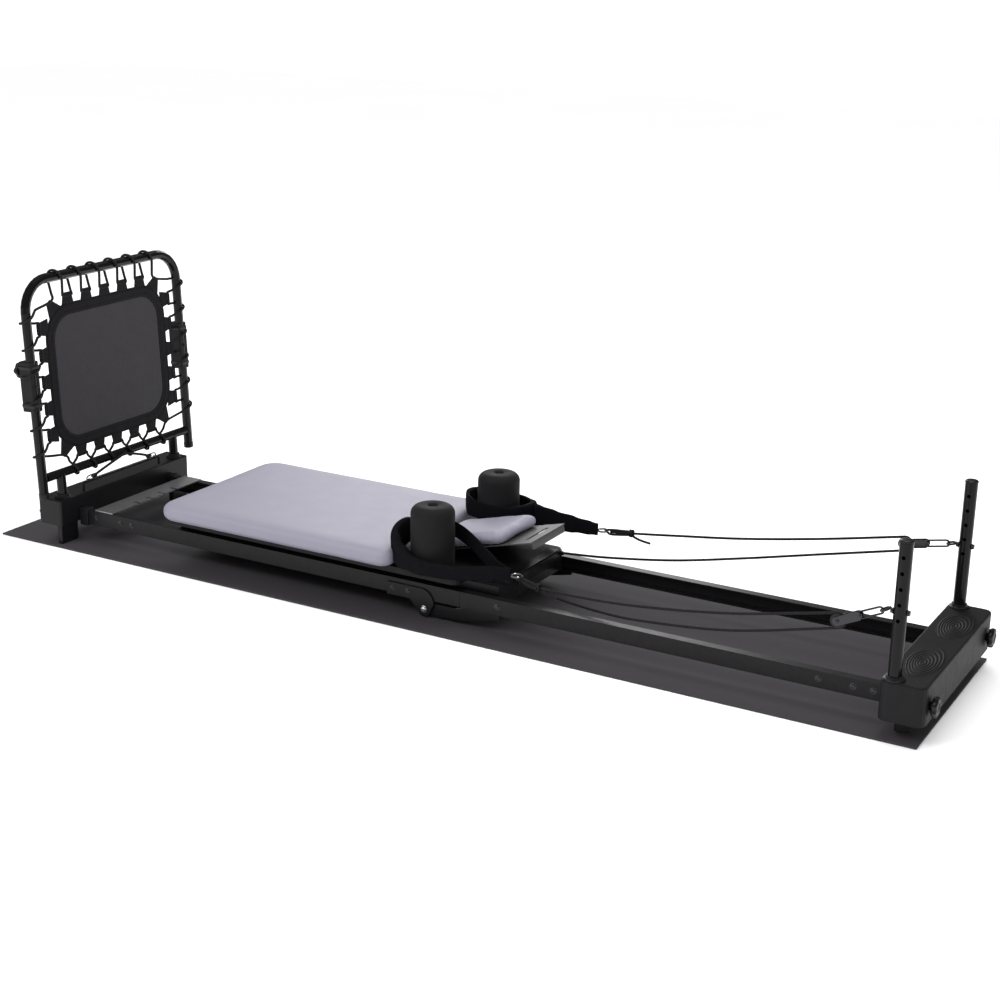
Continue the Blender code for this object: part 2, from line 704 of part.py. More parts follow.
def lace_points():
    """The zigzag that the lacing cord makes between the panel's edge and the frame's tubes."""
    inner_y = PANEL_WIDTH / 2 + LACE_RADIUS + LACE_EYE_GAP
    outer_y = REBOUNDER_SPREAD / 2
    low_in = PANEL_BOTTOM - LACE_RADIUS - LACE_EYE_GAP
    high_in = PANEL_TOP + LACE_RADIUS + LACE_EYE_GAP
    middle = (PANEL_TOP + PANEL_BOTTOM) / 2
    corner = LACE_TURNS * LACE_PITCH / 2
    steps = [((i - LACE_TURNS) * LACE_PITCH / 2, i % 2) for i in range(1, 2 * LACE_TURNS)]
    points = [(-corner, high_in)]
    points += [(y, REBOUNDER_TOP if wrap else high_in) for y, wrap in steps]
    points.append((corner, high_in))
    points += [(outer_y if wrap else inner_y, middle - z) for z, wrap in steps]
    points.append((corner, low_in))
    points += [(-y, CROSSBAR_HEIGHT if wrap else low_in) for y, wrap in steps]
    points.append((-corner, low_in))
    points += [(-outer_y if wrap else -inner_y, middle + z) for z, wrap in steps]
    return points


def rebounder_lacing():
    """The elastic cord laced round the panel, on the carriage's side of the tubes."""
    points = [(LACE_OFFSET, y, z - FOOT_BOX_TOP) for y, z in lace_points()]
    return tube("rebounder_lacing", points, LACE_RADIUS, ROPE, cyclic=True)


def side_clamp(label, side):
    """The clamp block round one upright tube."""
    size = (CLAMP_DEPTH, 2 * (TUBE_RADIUS + CLAMP_WALL), CLAMP_HIGH - CLAMP_LOW)
    level = (CLAMP_LOW + CLAMP_HIGH) / 2 - FOOT_BOX_TOP
    y = side * REBOUNDER_SPREAD / 2
    part = block(f"side_clamp_{label}", size, (-CLAMP_BACK, y, level), PLASTIC, CLAMP_EDGE)
    cutter = rod(f"clamp_bore_{label}", TUBE_RADIUS + RUNNING_GAP, size[2] + CUT_PAST,
                 (0, y, level), None)
    combine(part, cutter, "DIFFERENCE")
    return part, cutter


def hook_bar():
    """The low bar on the foot box that the bungee's hooks catch."""
    half = HOOK_BAR_SPREAD / 2
    top = FOOT_BOX_TOP + HOOK_BAR_RISE
    foot = FOOT_BOX_TOP + SEAT_GAP
    x = REBOUNDER_X + HOOK_BAR_FORWARD
    corner = HOOK_BAR_CORNER
    points = [(x, -half, foot), (x, -half, top - corner), (x, -half + corner, top)]
    points += [(x, half - corner, top), (x, half, top - corner), (x, half, foot)]
    return tube("hook_bar", points, HOOK_BAR_RADIUS, STEEL)


def hold_down_hook(label, side):
    """One plastic hook of the hold-down bungee."""
    level = HOOK_BAR_RISE + HOOK_BAR_RADIUS + SEAT_GAP + HOOK_SIZE[2] / 2 + HOOK_GAP
    place = (HOOK_FORWARD, side * HOOK_SPREAD / 2, level)
    return block(f"hold_down_hook_{label}", HOOK_SIZE, place, PLASTIC, HOOK_EDGE)


def hold_down_cord():
    """The bungee from hook to hook, over the front of the crossbar."""
    end = HOOK_SPREAD / 2 - HOOK_SIZE[1] / 2 - HOOK_GAP
    low = HOOK_BAR_RISE + HOOK_BAR_RADIUS + HOOK_SIZE[2] / 2 + HOOK_GAP
    front = CROSSBAR_RADIUS + BUNGEE_RADIUS + HOOK_GAP
    high = CROSSBAR_HEIGHT - FOOT_BOX_TOP
    route = [(HOOK_FORWARD, -end, low), (0.012, -0.080, low + 0.010), (front, -0.030, high - 0.008),
             (front, 0, high), (front, 0.030, high - 0.008), (0.012, 0.080, low + 0.010),
             (HOOK_FORWARD, end, low)]
    return tube("hold_down_cord", smooth_route(route, 0.012), BUNGEE_RADIUS, ROPE)


def rebounder():
    """The rebounder's pieces, leaned back on the foot box."""
    holder = empty("rebounder_place", (REBOUNDER_X, 0, FOOT_BOX_TOP), (0, -REBOUNDER_LEAN, 0))
    pieces = [rebounder_frame(), rebounder_crossbar(), rebounder_mat(), rebounder_lacing(), hold_down_cord()]
    for label, side in SIDES:
        pieces += side_clamp(label, side)
        pieces.append(hold_down_hook(label, side))
    back = -CLAMP_BACK - CLAMP_DEPTH / 2 - SEAT_GAP
    level = STAR_KNOB_HEIGHT - FOOT_BOX_TOP
    pieces.append(knob("star_knob", STAR_KNOB_RADIUS, (back, -REBOUNDER_SPREAD / 2, level), -1, 0.0))
    lean(holder, pieces)


def foot_half():
    """Everything fixed to the foot half of the frame, hung on the fold's axis at the legs."""
    holder = empty("frame_fold_axis", (FOLD_X, 0, FLOOR))
    pieces = [foot_box(), cord_anchor_plate(), hook_bar()]
    for label, side in SIDES:
        pieces.append(foot_leg(label, side))
        pieces.append(rail(f"foot_rail_{label}", side, FOOT_BOX_FACE + SEAT_GAP, RAIL_SPLIT))
        pieces.append(hinge_plate(label, side))
        knob(f"post_knob_{label}", POST_KNOB_RADIUS,
             (-HALF_LENGTH, side * POST_SPREAD / 2, POST_KNOB_HEIGHT), -1)
        wheel(f"centre_wheel_{label}", CENTRE_WHEEL_RADIUS, CENTRE_WHEEL_WIDTH,
              HINGE_BOLT_RADIUS + RUNNING_GAP, (PIVOT_X, side * wheel_offset(), PIVOT_Z), RUBBER)
    hang(holder, pieces)


def head_block():
    """The moulded tread block across the head end, with holes for the risers and their knobs."""
    place = (HALF_LENGTH - HEAD_BLOCK_DEPTH / 2, 0, HEAD_BLOCK_TOP - HEAD_BLOCK_HEIGHT / 2)
    part = open_shell("head_block", (HEAD_BLOCK_DEPTH, BODY_WIDTH, HEAD_BLOCK_HEIGHT), place,
                      HEAD_BLOCK_WALL, HEAD_BLOCK_CORNER, HEAD_BLOCK_EDGE, PLASTIC)
    for label, side in SIDES:
        cutter = rod(f"riser_hole_{label}", RISER_RADIUS + RUNNING_GAP, 2 * CUT_PAST,
                     (RISER_X, side * RISER_Y, HEAD_BLOCK_TOP), None)
        combine(part, cutter, "DIFFERENCE")
        cutter = rod(f"riser_knob_hole_{label}", KNOB_STEM_RADIUS + RUNNING_GAP, CUT_PAST,
                     (HALF_LENGTH, side * HEAD_KNOB_SPREAD / 2, HEAD_KNOB_HEIGHT), None, "X", 16)
        combine(part, cutter, "DIFFERENCE")
    return part


def head_foot(label, side):
    """One round rubber foot, its stem reaching up inside the head block."""
    stem = HEAD_FOOT_STEM_RADIUS
    top = HEAD_BLOCK_TOP - HEAD_BLOCK_WALL - SEAT_GAP
    edge = HEAD_FOOT_EDGE
    profile = [(0, top), (stem, top), (stem, FLOOR + HEAD_FOOT_HEIGHT),
               (HEAD_FOOT_RADIUS - edge, FLOOR + HEAD_FOOT_HEIGHT),
               (HEAD_FOOT_RADIUS, FLOOR + HEAD_FOOT_HEIGHT - edge), (HEAD_FOOT_RADIUS, FLOOR),
               (0, FLOOR)]
    place = (HALF_LENGTH - HEAD_FOOT_INSET, side * HEAD_FOOT_SPREAD / 2, 0)
    return turned(f"head_foot_{label}", profile, place, RUBBER)


def riser(label, side):
    """One pulley post: a tube closed at its top, with a row of holes and one cross hole."""
    inner = RISER_RADIUS - RISER_WALL
    edge = RISER_EDGE
    profile = [(0, RISER_TOP), (RISER_RADIUS - edge, RISER_TOP), (RISER_RADIUS, RISER_TOP - edge),
               (RISER_RADIUS, RISER_BOTTOM), (inner, RISER_BOTTOM), (inner, RISER_TOP - RISER_CAP),
               (0, RISER_TOP - RISER_CAP)]
    part = turned(f"riser_{label}", profile, (RISER_X, side * RISER_Y, 0), STEEL)
    for i in range(RISER_HOLES):
        level = RISER_HOLE_TOP - i * RISER_HOLE_PITCH
        cutter = rod(f"riser_row_hole_{label}_{i}", RISER_HOLE_RADIUS, 2 * CUT_PAST,
                     (RISER_X, side * RISER_Y, level), None, "Y", 12)
        combine(part, cutter, "DIFFERENCE")
    cutter = rod(f"eye_hole_{label}", EYE_PIN_RADIUS + RUNNING_GAP, 2 * CUT_PAST,
                 (RISER_X, side * RISER_Y, EYE_HEIGHT), None, "X", 12)
    combine(part, cutter, "DIFFERENCE")
    return part


def chain_spot(label, side, distance):
    """A point on the pulley's chain, at a distance from the eye's centre."""
    drop = PULLEY_DROP[label]
    return (RISER_X - EYE_REACH - distance * math.cos(drop), side * RISER_Y,
            EYE_HEIGHT - distance * math.sin(drop))


def eye_pin(label, side):
    """The eye bolt through a riser, its ring towards the carriage."""
    eye = ring(f"eye_pin_{label}", EYE_RING_RADIUS, EYE_RING_WIRE, chain_spot(label, side, 0), DARK_STEEL,
               (0, -PULLEY_DROP[label], 0))
    start_x = RISER_X - EYE_REACH + EYE_RING_RADIUS
    end_x = RISER_X + RISER_RADIUS + EYE_PIN_END
    shank = rod("shank", EYE_PIN_RADIUS, end_x - start_x,
                ((start_x + end_x) / 2, side * RISER_Y, EYE_HEIGHT), DARK_STEEL, "X", 16)
    return combine(eye, shank, "UNION")


def quick_link(label, side):
    """The oval link between the eye bolt and the pulley."""
    start_at = EYE_RING_RADIUS + LINK_GAP
    end_at = start_at + LINK_SPAN
    oval = arc((-end_at, 0), LINK_RADIUS, 90, 270, 8) + arc((-start_at, 0), LINK_RADIUS, 270, 450, 8)
    points = [(u, 0, v) for u, v in oval]
    turn = (0, -PULLEY_DROP[label], 0)
    place = chain_spot(label, side, 0)
    return tube(f"quick_link_{label}", points, LINK_WIRE, DARK_STEEL, place, turn, cyclic=True)


def pulley_block(label, side):
    """Two cheeks joined by the link's pin and the sheave's axle."""
    turn = (0, -PULLEY_DROP[label], 0)
    link_end = EYE_RING_RADIUS + LINK_GAP + LINK_SPAN + LINK_RADIUS
    pin_at = link_end - LINK_WIRE - SEAT_GAP - LINK_PIN_RADIUS
    start_at = pin_at - CHEEK_LINK_END
    end_at = SHEAVE_DISTANCE + CHEEK_SHEAVE_END
    spread = SHEAVE_WIDTH / 2 + RUNNING_GAP + CHEEK_THICKNESS / 2
    length = end_at - start_at
    x, y, z = chain_spot(label, side, (start_at + end_at) / 2)
    size = (length, CHEEK_THICKNESS, CHEEK_HEIGHT)
    part = block(f"pulley_block_{label}", size, (x, y - spread, z), DARK_STEEL, 0.0, turn)
    tools = [block("cheek", size, (x, y + spread, z), DARK_STEEL, 0.0, turn)]
    for spot, radius in ((pin_at, LINK_PIN_RADIUS), (SHEAVE_DISTANCE, AXLE_RADIUS)):
        tools.append(rod("pin", radius, 2 * spread, chain_spot(label, side, spot), DARK_STEEL, "Y", 12))
    tools.append(rod("head", AXLE_HEAD_RADIUS, CHEEK_THICKNESS + AXLE_HEAD_PROUD,
                     chain_spot(label, side, SHEAVE_DISTANCE), DARK_STEEL, "Y", 12))
    tools[-1].location.y = y - spread - AXLE_HEAD_PROUD
    for tool in tools:
        combine(part, tool, "UNION")
    return part


def sheave(label, side):
    """The grooved wheel of one pulley."""
    half = SHEAVE_WIDTH / 2
    bore = AXLE_RADIUS + RUNNING_GAP
    lip = half - SHEAVE_LIP
    groove = SHEAVE_GROOVE_HALF
    profile = [(bore, half), (SHEAVE_RADIUS, half), (SHEAVE_RADIUS, lip), (SHEAVE_GROOVE_RADIUS, groove),
               (SHEAVE_GROOVE_RADIUS, -groove), (SHEAVE_RADIUS, -lip), (SHEAVE_RADIUS, -half),
               (bore, -half), (bore, half)]
    return turned(f"sheave_{label}", profile, chain_spot(label, side, SHEAVE_DISTANCE), PLASTIC, UPRIGHT)


def rope(label, side):
    """One rope: from the strap's ring, round its pulley and back to the carriage."""
    x, y, z = chain_spot(label, side, SHEAVE_DISTANCE)
    reach = SHEAVE_GROOVE_RADIUS + ROPE_RADIUS + RUNNING_GAP
    wrap = [(x + u, y, z + v) for u, v in arc((0, 0), reach, *ROPE_WRAP, 8)]
    out = smooth_route(ROPE_START[label] + [wrap[0]], ROPE_STEP)
    back = smooth_route([wrap[-1]] + ROPE_END[label], ROPE_STEP)
    return tube(f"rope_{label}", out[:-1] + wrap + back[1:], ROPE_RADIUS, ROPE)


def head_half():
    """Everything on the head half of the frame, hung on the centre hinge."""
    holder = empty("head_half_fold_axis", (PIVOT_X, 0, PIVOT_Z))
    pieces = [head_block()]
    for label, side in SIDES:
        start_x, end_x = RAIL_SPLIT + 2 * SEAT_GAP, HEAD_BLOCK_FACE - SEAT_GAP
        pieces.append(rail(f"head_rail_{label}", side, start_x, end_x))
        pieces.append(head_foot(label, side))
        pieces.append(hinge_arm(label, side))
        knob(f"riser_knob_{label}", KNOB_RADIUS,
             (HALF_LENGTH, side * HEAD_KNOB_SPREAD / 2, HEAD_KNOB_HEIGHT), 1)
        riser(label, side)
        eye_pin(label, side)
        quick_link(label, side)
        pulley_block(label, side)
        sheave(label, side)
        rope(label, side)
    hang(holder, pieces)


def carriage_frame():
    """The ladder frame under the deck, with its four stub axles."""
    outer = FRAME_SPREAD / 2
    inner = outer - FRAME_BEAM
    middle = (FRAME_FOOT + FRAME_HEAD) / 2
    cross = FRAME_BEAM * 2
    loops = [rounded((FRAME_FOOT, -outer), (FRAME_HEAD, outer), (FRAME_CORNER,) * 4, 2)]
    for low, high in ((FRAME_FOOT + cross, middle - cross / 2), (middle + cross / 2, FRAME_HEAD - cross)):
        loops.append(rounded((low, -inner), (high, inner), (FRAME_CORNER,) * 4, 2))
    top = DECK_BOTTOM - SEAT_GAP
    part = outline("carriage_frame", loops, top - FRAME_BOTTOM, STEEL, (0, 0, (top + FRAME_BOTTOM) / 2))
    end = WHEEL_Y + CARRIAGE_WHEEL_WIDTH / 2 + WHEEL_AXLE_END
    for _, place in WHEEL_PLACES:
        for _, side in SIDES:
            axle = rod("axle", WHEEL_AXLE_RADIUS, end - inner, (place, side * (end + inner) / 2, WHEEL_Z),
                       STEEL, "Y", 16)
            combine(part, axle, "UNION")
    return part


def carriage_deck():
    """The board under the pad, narrower where it carries the headrest."""
    half, neck = DECK_WIDTH / 2, DECK_NECK_WIDTH / 2
    low = CARRIAGE_FOOT + DECK_INSET
    corner, tip = DECK_CORNER, DECK_NECK_CORNER
    points = [(low, -half)] + arc((DECK_SHOULDER, -half + corner), corner, 270, 360, 4)
    points += [(DECK_SHOULDER + corner, -neck)]
    points += arc((DECK_HEAD - tip, -neck + tip), tip, 270, 360, 4)
    points += [(x, -y) for x, y in reversed(points)]
    level = DECK_BOTTOM + DECK_THICKNESS / 2
    return outline("carriage_deck", [points], DECK_THICKNESS, PLASTIC, (0, 0, level))


def carriage_pad():
    """The upholstered pad, square to the shoulder rests and round at its foot corners."""
    half = PAD_WIDTH / 2
    radii = (PAD_CORNER, PAD_HEAD_CORNER, PAD_HEAD_CORNER, PAD_CORNER)
    points = rounded((CARRIAGE_FOOT, -half), (CARRIAGE_FOOT + PAD_LENGTH, half), radii)
    level = (PAD_TOP + PAD_BOTTOM) / 2
    part = outline("carriage_pad", [points], PAD_TOP - PAD_BOTTOM, UPHOLSTERY, (0, 0, level))
    soften = part.modifiers.new("soften", "BEVEL")
    soften.limit_method = "ANGLE"
    soften.angle_limit = math.radians(60)
    soften.width = PAD_EDGE
    soften.segments = 2
    return part


def shoulder_rest(label, side):
    """One foam shoulder cylinder with a round top edge and a dimple."""
    bottom = PAD_BOTTOM + SEAT_GAP
    edge = REST_EDGE
    depth = REST_DIMPLE_DEPTH
    rim = arc((REST_RADIUS - edge, REST_TOP - edge), edge, 90, 0, 5)
    profile = [(0, REST_TOP - depth), (REST_DIMPLE * 0.7, REST_TOP - depth * 0.8), (REST_DIMPLE, REST_TOP)]
    profile += rim + [(REST_RADIUS, bottom), (0, bottom)]
    return turned(f"shoulder_rest_{label}", profile, (REST_X, side * REST_Y, 0), FOAM)


def strap(label, side):
    """One webbing loop: round the foot side of its rest and forward to the ring."""
    reach = REST_RADIUS + STRAP_GAP + STRAP_THICKNESS / 2
    loop = arc((REST_X, side * REST_Y), reach, -side * STRAP_START, -side * STRAP_END, 12)
    end_x, end_y, _ = STRAP_TAIL[label]
    turn_x, share = STRAP_TURN
    path = loop + [(turn_x, loop[-1][1] + (end_y - loop[-1][1]) * share), (end_x, end_y)]
    path = [Vector(p) for p in path]
    left, right = [], []
    for i, spot in enumerate(path):
        along = (path[min(i + 1, len(path) - 1)] - path[max(i - 1, 0)]).normalized()
        across = Vector((-along.y, along.x)) * STRAP_THICKNESS / 2
        left.append(tuple(spot + across))
        right.append(tuple(spot - across))
    return outline(f"strap_{label}", [left + right[::-1]], STRAP_WIDTH, WEBBING, (0, 0, STRAP_LEVEL))


def strap_ring(label, side):
    """The metal ring between a strap and its rope."""
    x, y, z = STRAP_TAIL[label]
    place = (x + SEAT_GAP + RING_WIRE + RING_RADIUS, y, z)
    return ring(f"strap_ring_{label}", RING_RADIUS, RING_WIRE, place, CHROME)


def carriage():
    """The carriage's own pieces and its wheels, hung on the slide's place."""
    holder = empty("carriage_slide_axis", (CARRIAGE_FOOT, 0, WHEEL_Z))
    pieces = [carriage_frame(), carriage_deck(), carriage_pad()]
    for label, side in SIDES:
        pieces += [shoulder_rest(label, side), strap(label, side), strap_ring(label, side)]
        for end, place in WHEEL_PLACES:
            wheel(f"carriage_wheel_{end}_{label}", CARRIAGE_WHEEL_RADIUS, CARRIAGE_WHEEL_WIDTH,
                  WHEEL_AXLE_RADIUS + RUNNING_GAP, (place, side * WHEEL_Y, WHEEL_Z), PLASTIC)
    hang(holder, pieces)


def headrest():
    """The tilting headrest: a steel plate with a folded lip, and its pad, drawn flat and then tilted."""
    holder = empty("headrest_axis", (HEADREST_PIVOT_X, 0, HEADREST_PIVOT_Z), (0, -HEADREST_TILT, 0))
    half = HEADREST_WIDTH / 2
    corner = HEADREST_CORNER
    rear, plate_rear = HEADREST_REAR_CORNER, PLATE_REAR_CORNER
    steel = rounded((PLATE_REAR, -half + PLATE_INSET), (HEADREST_LENGTH + PLATE_REACH, half - PLATE_INSET),
                    (plate_rear, corner, corner, plate_rear))
    soft = rounded((0, -half), (HEADREST_LENGTH, half), (rear, corner, corner, rear))
    plate = outline("headrest_plate", [steel], PLATE_THICKNESS, STEEL, (0, 0, PLATE_THICKNESS / 2))
    lip = block("lip", (PLATE_THICKNESS, HEADREST_WIDTH - 2 * PLATE_INSET - 2 * corner, PLATE_LIP),
                (HEADREST_LENGTH + PLATE_REACH - PLATE_THICKNESS / 2, 0, PLATE_THICKNESS - PLATE_LIP / 2),
                STEEL)
    combine(plate, lip, "UNION")
    level = PLATE_THICKNESS + SEAT_GAP + HEADREST_THICKNESS / 2
    pad = outline("headrest_pad", [soft], HEADREST_THICKNESS, UPHOLSTERY, (0, 0, level))
    lean(holder, [plate, pad])


start()
floor_mat()
foot_half()
rebounder()
head_half()
carriage()
headrest()
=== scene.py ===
"""Looks for a folding pilates reformer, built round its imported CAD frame.

Lengths are metres, in the frame's own axes: +X from the rebounder to the pulleys, -Y near, +Z up.
"""

import json
import logging
import math
from collections.abc import Sequence
from dataclasses import dataclass
from enum import Enum

import bmesh
import bpy
import numpy as np
from mathutils import Matrix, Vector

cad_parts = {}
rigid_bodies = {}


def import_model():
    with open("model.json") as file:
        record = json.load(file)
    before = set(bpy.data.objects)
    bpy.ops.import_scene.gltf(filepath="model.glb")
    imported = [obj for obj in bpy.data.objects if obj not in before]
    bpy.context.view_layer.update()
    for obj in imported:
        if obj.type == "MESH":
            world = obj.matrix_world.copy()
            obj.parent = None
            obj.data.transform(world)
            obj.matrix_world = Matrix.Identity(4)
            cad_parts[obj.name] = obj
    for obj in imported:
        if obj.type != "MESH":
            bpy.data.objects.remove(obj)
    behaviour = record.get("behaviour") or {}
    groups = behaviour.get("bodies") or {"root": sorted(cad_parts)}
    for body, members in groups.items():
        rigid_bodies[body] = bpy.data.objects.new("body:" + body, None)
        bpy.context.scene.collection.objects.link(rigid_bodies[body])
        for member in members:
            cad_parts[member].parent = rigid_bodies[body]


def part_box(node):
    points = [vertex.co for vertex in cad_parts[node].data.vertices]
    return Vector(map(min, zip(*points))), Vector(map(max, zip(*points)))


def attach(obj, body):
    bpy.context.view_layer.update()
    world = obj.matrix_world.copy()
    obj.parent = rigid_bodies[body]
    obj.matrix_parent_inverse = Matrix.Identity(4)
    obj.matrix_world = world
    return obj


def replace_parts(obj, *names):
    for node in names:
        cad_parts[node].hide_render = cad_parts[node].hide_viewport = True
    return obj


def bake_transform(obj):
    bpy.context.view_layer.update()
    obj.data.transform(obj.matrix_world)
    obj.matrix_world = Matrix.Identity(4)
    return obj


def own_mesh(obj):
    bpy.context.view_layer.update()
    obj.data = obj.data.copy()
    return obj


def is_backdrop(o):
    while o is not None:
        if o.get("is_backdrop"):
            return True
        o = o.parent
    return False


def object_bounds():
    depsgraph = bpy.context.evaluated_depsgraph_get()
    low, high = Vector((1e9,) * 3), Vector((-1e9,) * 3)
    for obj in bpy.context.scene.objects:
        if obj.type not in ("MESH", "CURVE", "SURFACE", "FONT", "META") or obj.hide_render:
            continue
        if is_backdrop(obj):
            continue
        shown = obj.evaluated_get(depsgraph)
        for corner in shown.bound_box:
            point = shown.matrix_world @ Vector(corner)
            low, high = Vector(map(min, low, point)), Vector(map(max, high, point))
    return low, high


LOG = logging.getLogger("reformer")
KNOB_DEPTH = 0.0170
FLOOR_HALF = 14.0
FILL_PRESSURE = 4.0
FILL_FRAMES = 20
COVER_STIFFNESS = 25.0
RELAX_STEPS = 10
LAMPS = (
    ("key_light", (-1.6, -2.6, 3.2), 2.0, 70.0),
    ("top_light", (0.6, 0.8, 3.6), 2.2, 45.0),
    ("rim_light", (-1.9, 3.6, 1.9), 2.2, 55.0),
)
RAIL_BOLTS = {"foot": (-1.045, -0.962, -0.925, -0.085), "head": (0.160, 0.930, 1.005, 1.048)}
Point = tuple[float, float, float]
Colour = tuple[float, float, float]


class Side(Enum):
    """The machine's two long sides, as the sign of their Y."""

    NEAR = -1
    FAR = 1

    @property
    def label(self) -> str:
        """The side's name in node and body names."""
        return self.name.lower()


class Relief(Enum):
    """The small surface shapes that finishes have."""

    ORANGE_PEEL = "orange_peel"
    GRAIN = "grain"
    PEBBLE = "pebble"
    PORES = "pores"
    CREASES = "creases"
    BRUSHED = "brushed"
    WEAVE = "weave"
    RIBS = "ribs"
    BRAID = "braid"


class Graph:
    """One material's node tree, with short calls for the nodes that finishes use."""

    def __init__(self, name: str) -> None:
        """Start a material that holds only a Principled shader and its output."""
        self.material = bpy.data.materials.new(name)
        self.material.use_nodes = True
        self.tree = self.material.node_tree
        self.tree.nodes.clear()
        self.shader = self.tree.nodes.new("ShaderNodeBsdfPrincipled")
        output = self.tree.nodes.new("ShaderNodeOutputMaterial")
        self.tree.links.new(self.shader.outputs[0], output.inputs[0])
        coordinates = self.tree.nodes.new("ShaderNodeTexCoord")
        self.place = coordinates.outputs["Object"]
        self.uv = coordinates.outputs["UV"]

    def add(self, kind: str, inputs: dict, out: int | str = 0, **settings: object) -> bpy.types.NodeSocket:
        """Add a node.

        Args:
            kind: The node's type.
            inputs: Values or sockets, by input name or number.
            out: The output to hand back.
            **settings: Properties of the node.

        Returns:
            The chosen output socket.
        """
        node = self.tree.nodes.new(kind)
        for key, value in settings.items():
            setattr(node, key, value)
        for key, value in inputs.items():
            if isinstance(value, bpy.types.NodeSocket):
                self.tree.links.new(value, node.inputs[key])
            else:
                node.inputs[key].default_value = value
        return node.outputs[out]

    def maths(self, operation: str, *values: object) -> bpy.types.NodeSocket:
        """A Math node of one operation on numbers or sockets."""
        return self.add("ShaderNodeMath", dict(enumerate(values)), operation=operation)

    def mix(self, share: object, low: Colour, high: Colour) -> bpy.types.NodeSocket:
        """A colour between two, by a share from 0 to 1."""
        inputs = {0: share, 6: (*low, 1.0), 7: (*high, 1.0)}
        return self.add("ShaderNodeMix", inputs, 2, data_type="RGBA")

    def spread(self, value: object, low: float, high: float) -> bpy.types.NodeSocket:
        """A value from 0 to 1 carried to another range."""
        return self.add("ShaderNodeMapRange", {"Value": value, "To Min": low, "To Max": high})

    def noise(self, scale: float, detail: float = 2.0, vector: object = None) -> bpy.types.NodeSocket:
        """Noise with a number of lumps in each metre."""
        inputs = {"Vector": vector or self.place, "Scale": scale, "Detail": detail}
        return self.add("ShaderNodeTexNoise", inputs, "Fac")

    def cells(self, scale: float, feature: str = "F1", vector: object = None) -> bpy.types.NodeSocket:
        """Distance in a pattern of cells, a number of them in each metre."""
        inputs = {"Vector": vector or self.place, "Scale": scale}
        return self.add("ShaderNodeTexVoronoi", inputs, "Distance", feature=feature)

    def wave(self, value: object, pitch: float) -> bpy.types.NodeSocket:
        """A sine from 0 to 1 of a length, with a pitch in metres."""
        turned = self.maths("MULTIPLY", value, 2 * math.pi / pitch)
        return self.maths("MULTIPLY_ADD", self.maths("SINE", turned), 0.5, 0.5)


